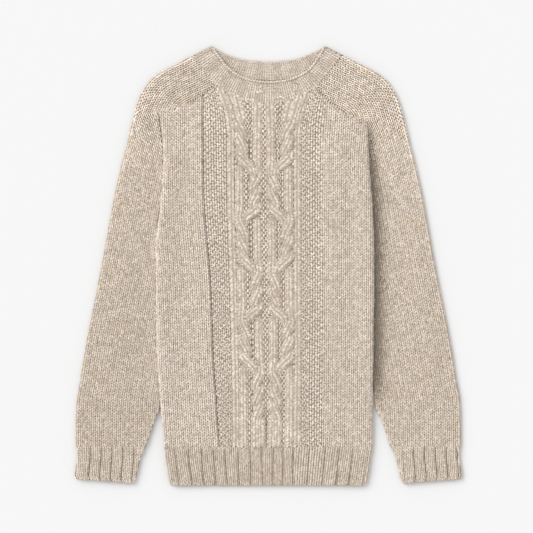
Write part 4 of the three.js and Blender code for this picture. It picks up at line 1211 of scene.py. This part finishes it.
for name, node, side in (("right_cuff", "cuff_right", -1), ("left_cuff", "cuff_left", 1)):
    cuff, places = tube(name, side, CUFF, 22, 84, 24, cuff_relief, drop=SEAM_GAP, rib=CUFF_RIB)
    counted(cuff, "rib_wool", rib_wool, node)
    grown_on = loops(name + "_stitches", "rib_wool", rib_yarn, places, size=1.05, slant=0.24, tone=0.05,
                     loose=0.6, differ=0.75)

# The neckband is a ring of ribbed knitting, picked up round the neck: groups of fine knit lines stand up
# between flat parts, and its free edge is bound off in a chain. Its front lies lower than its back.
NECK_END = (116, 684.8)
NECK_EDGE_END = 88.8
NECK_EDGE_FRONT = [
    (-88.8, 699), (-80.5, 687), (-71, 674.5), (-62, 665), (-45, 653.6), (-29, 648), (0, 644.5),
    (21.5, 646), (45.6, 653), (62, 662), (71, 671.5), (80, 685), (88.8, 699),
]
NECK_EDGE_BACK = [
    (-88.8, 699), (-72, 691), (-58, 685), (-34, 679), (0, 676), (34, 679), (58, 685), (72, 691), (88.8, 699),
]
NECK_STITCH = 7.2
GROUP_STITCHES = 4


def neck_seam(table, x):
    """Height of the neckband's seam, straight from the front's or back's corner to the sleeve's fold."""
    corner = table[0] if x < 0 else table[-1]
    part = (abs(x) - abs(corner[0])) / (NECK_END[0] - abs(corner[0]))
    return mix(corner[1], NECK_END[1], part) if part > 0 else float(read(table, 1, x))


def fold_outward(side):
    """Direction in which the neckband's fold points at a shoulder."""
    corner = raglan(side)[0]
    away = np.array([NECK_END[k] - (corner[k] + RAGLAN_BACK[k]) / 2 for k in (0, 1)])
    away /= np.linalg.norm(away)
    return np.array([side * away[0], away[1]])


band_row = np.concatenate([np.linspace(0, 0.84, 12), [0.88, 0.91, 0.94, 0.97, 1]])
band_lines = []


def band_places(share, seam_table, edge_table):
    """Where the band's seam and its free edge lie at a share of its half width."""
    seam = np.array([share * NECK_END[0], neck_seam(seam_table, share * NECK_END[0])])
    edge = np.array([share * NECK_EDGE_END, float(read(edge_table, 1, share * NECK_EDGE_END))])
    return seam, edge


def band_count(seam_table, edge_table):
    """Number of the stitch at each of many shares, counted along the middle of the band."""
    shares = np.linspace(-1, 1, 201)
    line = np.array([sum(band_places(share, seam_table, edge_table)) / 2 for share in shares])
    run = np.concatenate([[0], np.cumsum(np.linalg.norm(np.diff(line, axis=0), axis=1))])
    return shares, (run - run[100]) / NECK_STITCH - 0.24


def shoulder_stand(share):
    """How far the front's free edge stands up, near the right shoulder."""
    return 3.2 * ease((-share - 0.35) / 0.3) * ease((1 + share) / 0.12)


def band_lane(share, seam_table, edge_table, turn):
    """One section of the band from its seam to its free edge. Turn is 0 on the front, pi on the back and
    between them round the fold at a shoulder."""
    seam, edge = band_places(share, seam_table, edge_table)
    counts = NECK_COUNT_BACK if edge_table is NECK_EDGE_BACK else NECK_COUNT_FRONT
    number = float(np.interp(share, *counts))
    seam = seam + (edge - seam) / np.linalg.norm(edge - seam) * SLANTED_GAP
    spot = seam + (edge - seam) * band_row[:, None]
    shoulder_way = fold_outward(-1 if share < 0 else 1)
    in_group = (number / GROUP_STITCHES + 0.5) % 1 - 0.5
    group = ease((0.33 - abs(in_group)) / 0.06)
    ribs = 0.5 * group * ease((0.9 - band_row) / 0.08)
    under_edge = bell(band_row, 0.87, 0.03)
    bead = 0.9 * bell(band_row, 0.95, 0.035) - 0.5 * under_edge
    stand = shoulder_stand(share) * band_row ** 2 if turn == 0 else 0 * band_row
    radius = FOLD_RADIUS + (ribs + bead + stand if turn == 0 else 0 * band_row)
    inside = FOLD_RADIUS - WALL + stand
    raised = 0.6 * group * ease((0.95 - band_row) / 0.08) if turn == math.pi else 0
    out, upward = math.sin(turn), math.cos(turn)
    outer = np.column_stack([spot + shoulder_way * (radius * out)[:, None], FOLD_RADIUS + radius * upward])
    inner = np.column_stack([
        spot + shoulder_way * (inside * out)[:, None], FOLD_RADIUS + (inside - raised) * upward,
    ])
    length = np.linalg.norm(edge - seam)
    # painted shade under the bound edge's bead and on the flat parts between the rib groups
    groove = 0.15 * under_edge + 0.06 * (1 - group)
    band_lines.append((outer, inner, number, band_row * length / STITCH_HEIGHT, groove))


NECK_COUNT_FRONT = band_count(NECK_SEAM_FRONT, NECK_EDGE_FRONT)
NECK_COUNT_BACK = band_count(NECK_SEAM_BACK, NECK_EDGE_BACK)
FRONT_LANES, BACK_LANES, SHOULDER_LANES = 250, 160, 7
for share in np.linspace(-1, 1, FRONT_LANES):
    band_lane(share, NECK_SEAM_FRONT, NECK_EDGE_FRONT, 0)
for turn in np.linspace(0, math.pi, SHOULDER_LANES + 2)[1:-1]:
    band_lane(1, NECK_SEAM_FRONT, NECK_EDGE_FRONT, turn)
for share in np.linspace(1, -1, BACK_LANES):
    band_lane(share, NECK_SEAM_BACK, NECK_EDGE_BACK, math.pi)
for turn in np.linspace(math.pi, 0, SHOULDER_LANES + 2)[1:]:
    band_lane(-1, NECK_SEAM_FRONT, NECK_EDGE_FRONT, turn)
front_lanes = slice(0, FRONT_LANES)
first_back = FRONT_LANES + SHOULDER_LANES
back_lanes = slice(first_back, first_back + BACK_LANES)
outer, inner, run, groove = (np.stack([line[k] for line in band_lines], 1) for k in (0, 1, 3, 4))
number = np.array([line[2] for line in band_lines])
band_stitches = np.stack([np.broadcast_to(number, run.shape), run], -1)
# painted shade of the band's cloth under its loops, stronger on the front than inside the back
band_covered = np.full(len(band_lines), 0.4)
band_covered[back_lanes] = 0.1
neck_band = closed_shell("neck_band", outer, inner, band_stitches, ring=True, groove=groove,
                         covered=band_covered)
counted(neck_band, "rib_wool", plain_wool, "neckband")
for label, lanes, rows, seen, hidden, soft, knit_tone in (
        ("neck_front", front_lanes, 14, outer, inner, 0.75, -0.1),
        ("neck_back", back_lanes, 16, inner, outer, 0.45, -0.25)):
    part = (slice(0, rows), lanes)
    places = stitch_places(seen[part], hidden[part], band_stitches[part], groove=groove[part])
    knit = (places["half"] + 2) % (2 * GROUP_STITCHES) < GROUP_STITCHES
    loops(label + "_stitches", "rib_wool", neck_yarn, places, knit, sink=0.6,
                               size=mix(1.1, 0.93, soft), tone=knit_tone, loose=soft, differ=soft)
    loops(label + "_purls", "rib_wool", neck_yarn, places, ~knit, purl=True, sink=0.9,
                               size=1.4, tone=knit_tone - 0.25, loose=soft, differ=soft)

# The bound-off edge of the neckband is a chain of small loops of the same yarn, lying along its free edge.
# The same chain, finer, shows where the band is picked up from the front and along the sewn raglan seams.
chain_tree, given, put_out = new_tree(
    "GeometryNodeTree", "Chain of loops",
    [("Geometry", "Geometry"), ("Loop spacing", "Float", 0.004), ("Loop length", "Float", 0.005),
     ("Loop width", "Float", 0.003), ("Slant", "Float", 0.4), ("Wool", "Material")],
    [("Geometry", "Geometry")],
)
grow = partial(add_node, chain_tree)
line = grow("GeometryNodeMeshToCurve", {"Mesh": given.outputs["Geometry"]})
spread_out = {"Curve": line.outputs[0], "Length": given.outputs["Loop spacing"]}
spaced = grow("GeometryNodeResampleCurve", spread_out, mode="LENGTH")
bead = grow("GeometryNodeMeshUVSphere", {"Segments": 7, "Rings": 5, "Radius": 0.5})
width, length = given.outputs["Loop width"], given.outputs["Loop length"]
long_bead = grow("ShaderNodeCombineXYZ", {0: width, 1: width, 2: length})
ahead = grow("GeometryNodeInputTangent")
leaning = {"Vector": ahead.outputs[0], "Angle": given.outputs["Slant"]}
lean = grow("ShaderNodeVectorRotate", leaning, rotation_type="Z_AXIS")
facing = grow("FunctionNodeAlignRotationToVector", {"Vector": lean.outputs[0]}, axis="Z")
placed = grow("GeometryNodeInstanceOnPoints", {
    "Points": spaced.outputs[0], "Instance": bead.outputs["Mesh"], "Scale": long_bead.outputs[0],
    "Rotation": facing.outputs[0],
})
made_real(chain_tree, placed, given.outputs["Wool"], put_out)


def chain(name, slot, points, yarn, tone, **sizes):
    """A row of small loops along a line of points. Each size is named like its socket."""
    edges = [(k, k + 1) for k in range(len(points) - 1)]
    settings = {key.replace("_", " ").capitalize(): value for key, value in sizes.items()}
    shade = np.full(len(points), float(tone))
    piece = grown(name, chain_tree, points, edges, {"Wool": yarn, **settings}, shade=shade,
                  crown=0.25 + 0 * shade)
    return carried(piece, slot)


edge_points = []
for share in np.linspace(-0.985, 0.985, 160):
    x = share * NECK_EDGE_END
    up = float(read(NECK_EDGE_FRONT, 1, x)) - 1.4
    edge_points.append((x, up, FLAT_HEIGHT + 0.9 + shoulder_stand(share)))
bound_edge = chain("bound_edge", "rib_wool", edge_points, neck_yarn, 0.95, loop_spacing=0.0045,
                   loop_length=0.0053, loop_width=0.0031, slant=0.6)
back_points = []
for x in NECK_EDGE_END * np.linspace(-0.97, 0.97, 140):
    back_points.append((x, float(read(NECK_EDGE_BACK, 1, x)) - 1.2, 3.0))
bound_back = chain("bound_back_edge", "rib_wool", back_points, neck_yarn, 0.6, loop_spacing=0.0036,
                   loop_length=0.0046, loop_width=0.0024, slant=0.45)
seam_points = []
for x in NECK_END[0] * np.linspace(-0.99, 0.99, 240):
    seam_points.append((x, neck_seam(NECK_SEAM_FRONT, x), FLAT_HEIGHT + 0.1))
neck_pickup = chain("neck_pickup", "rib_wool", seam_points, neck_yarn, 0.3, loop_spacing=0.0042,
                    loop_length=0.0052, loop_width=0.0024, slant=0.9)

# Sewing stitches of the same yarn join the raglan seams between the front and the sleeves: a short
# slanting stitch about every row, lying in the gap between the pieces.
for side in (-1, 1):
    points = []
    for across in np.linspace(raglan(side)[0][0] + 1, raglan(side)[-1][0] - 3, 60):
        x = side * across
        up = float(read(raglan(side), 1, across))
        points.append((x, up, FLAT_HEIGHT - 0.1 + float(lie(np.float64(x), np.float64(up)))))
    label = "right_raglan_seam" if side < 0 else "left_raglan_seam"
    chain(label, "plain_wool", points, plain_yarn, 0.5, loop_spacing=0.0044, loop_length=0.0046,
          loop_width=0.0021, slant=-1.2 * side)

# The floor is a plain pale surface that the sweater lies on
floor_mesh = bpy.data.meshes.new("floor")
corners = [(x, y, -0.0004) for x, y in ((-6, -6), (6, -6), (6, 6), (-6, 6))]
floor_mesh.from_pydata(corners, [], [(0, 1, 2, 3)])
floor = bpy.data.objects.new("floor", floor_mesh)
bpy.context.scene.collection.objects.link(floor)
paper = bpy.data.materials.new("Pale paper")
paper.use_nodes = True
connect(paper.node_tree, paper.node_tree.nodes["Principled BSDF"], {
    "Base Color": (0.672, 0.672, 0.672, 1), "Roughness": 0.95, "Specular IOR Level": 0,
})
floor_mesh.materials.append(paper)
floor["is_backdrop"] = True

# Soft studio light: an even white room and one broad lamp from the upper left
world = bpy.data.worlds.new("Studio")
bpy.context.scene.world = world
world.use_nodes = True
background = world.node_tree.nodes["Background"]
connect(world.node_tree, background, {"Color": (1, 1, 1, 1), "Strength": 0.98})
lamp = bpy.data.lights.new("Broad lamp", "SUN")
lamp.angle = math.radians(42)
lamp.energy = 1.92
lamp_object = bpy.data.objects.new("Broad lamp", lamp)
lamp_object.rotation_euler = (math.radians(-26), math.radians(-42), 0)
bpy.context.scene.collection.objects.link(lamp_object)
bpy.context.scene.view_settings.view_transform = "Standard"

# The camera looks straight down on the middle of the sweater through a long lens. The picture's side is
# 533 pixels of 1.6 mm.
CAMERA_HEIGHT = 3.0
PICTURE_SIDE = 0.8528
camera_data = bpy.data.cameras.new("Camera")
camera_data.sensor_width = 36
camera_data.lens = camera_data.sensor_width * CAMERA_HEIGHT / PICTURE_SIDE
camera = bpy.data.objects.new("Camera", camera_data)
middle_x, middle_y = -0.0029, -0.0019
camera.location = (middle_x, middle_y, CAMERA_HEIGHT)
bpy.context.scene.collection.objects.link(camera)
bpy.context.scene.camera = camera

made_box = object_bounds()
boxes = {"cad": cad_box, "visual": made_box}
{key: [list(corner) for corner in box] for key, box in boxes.items()}
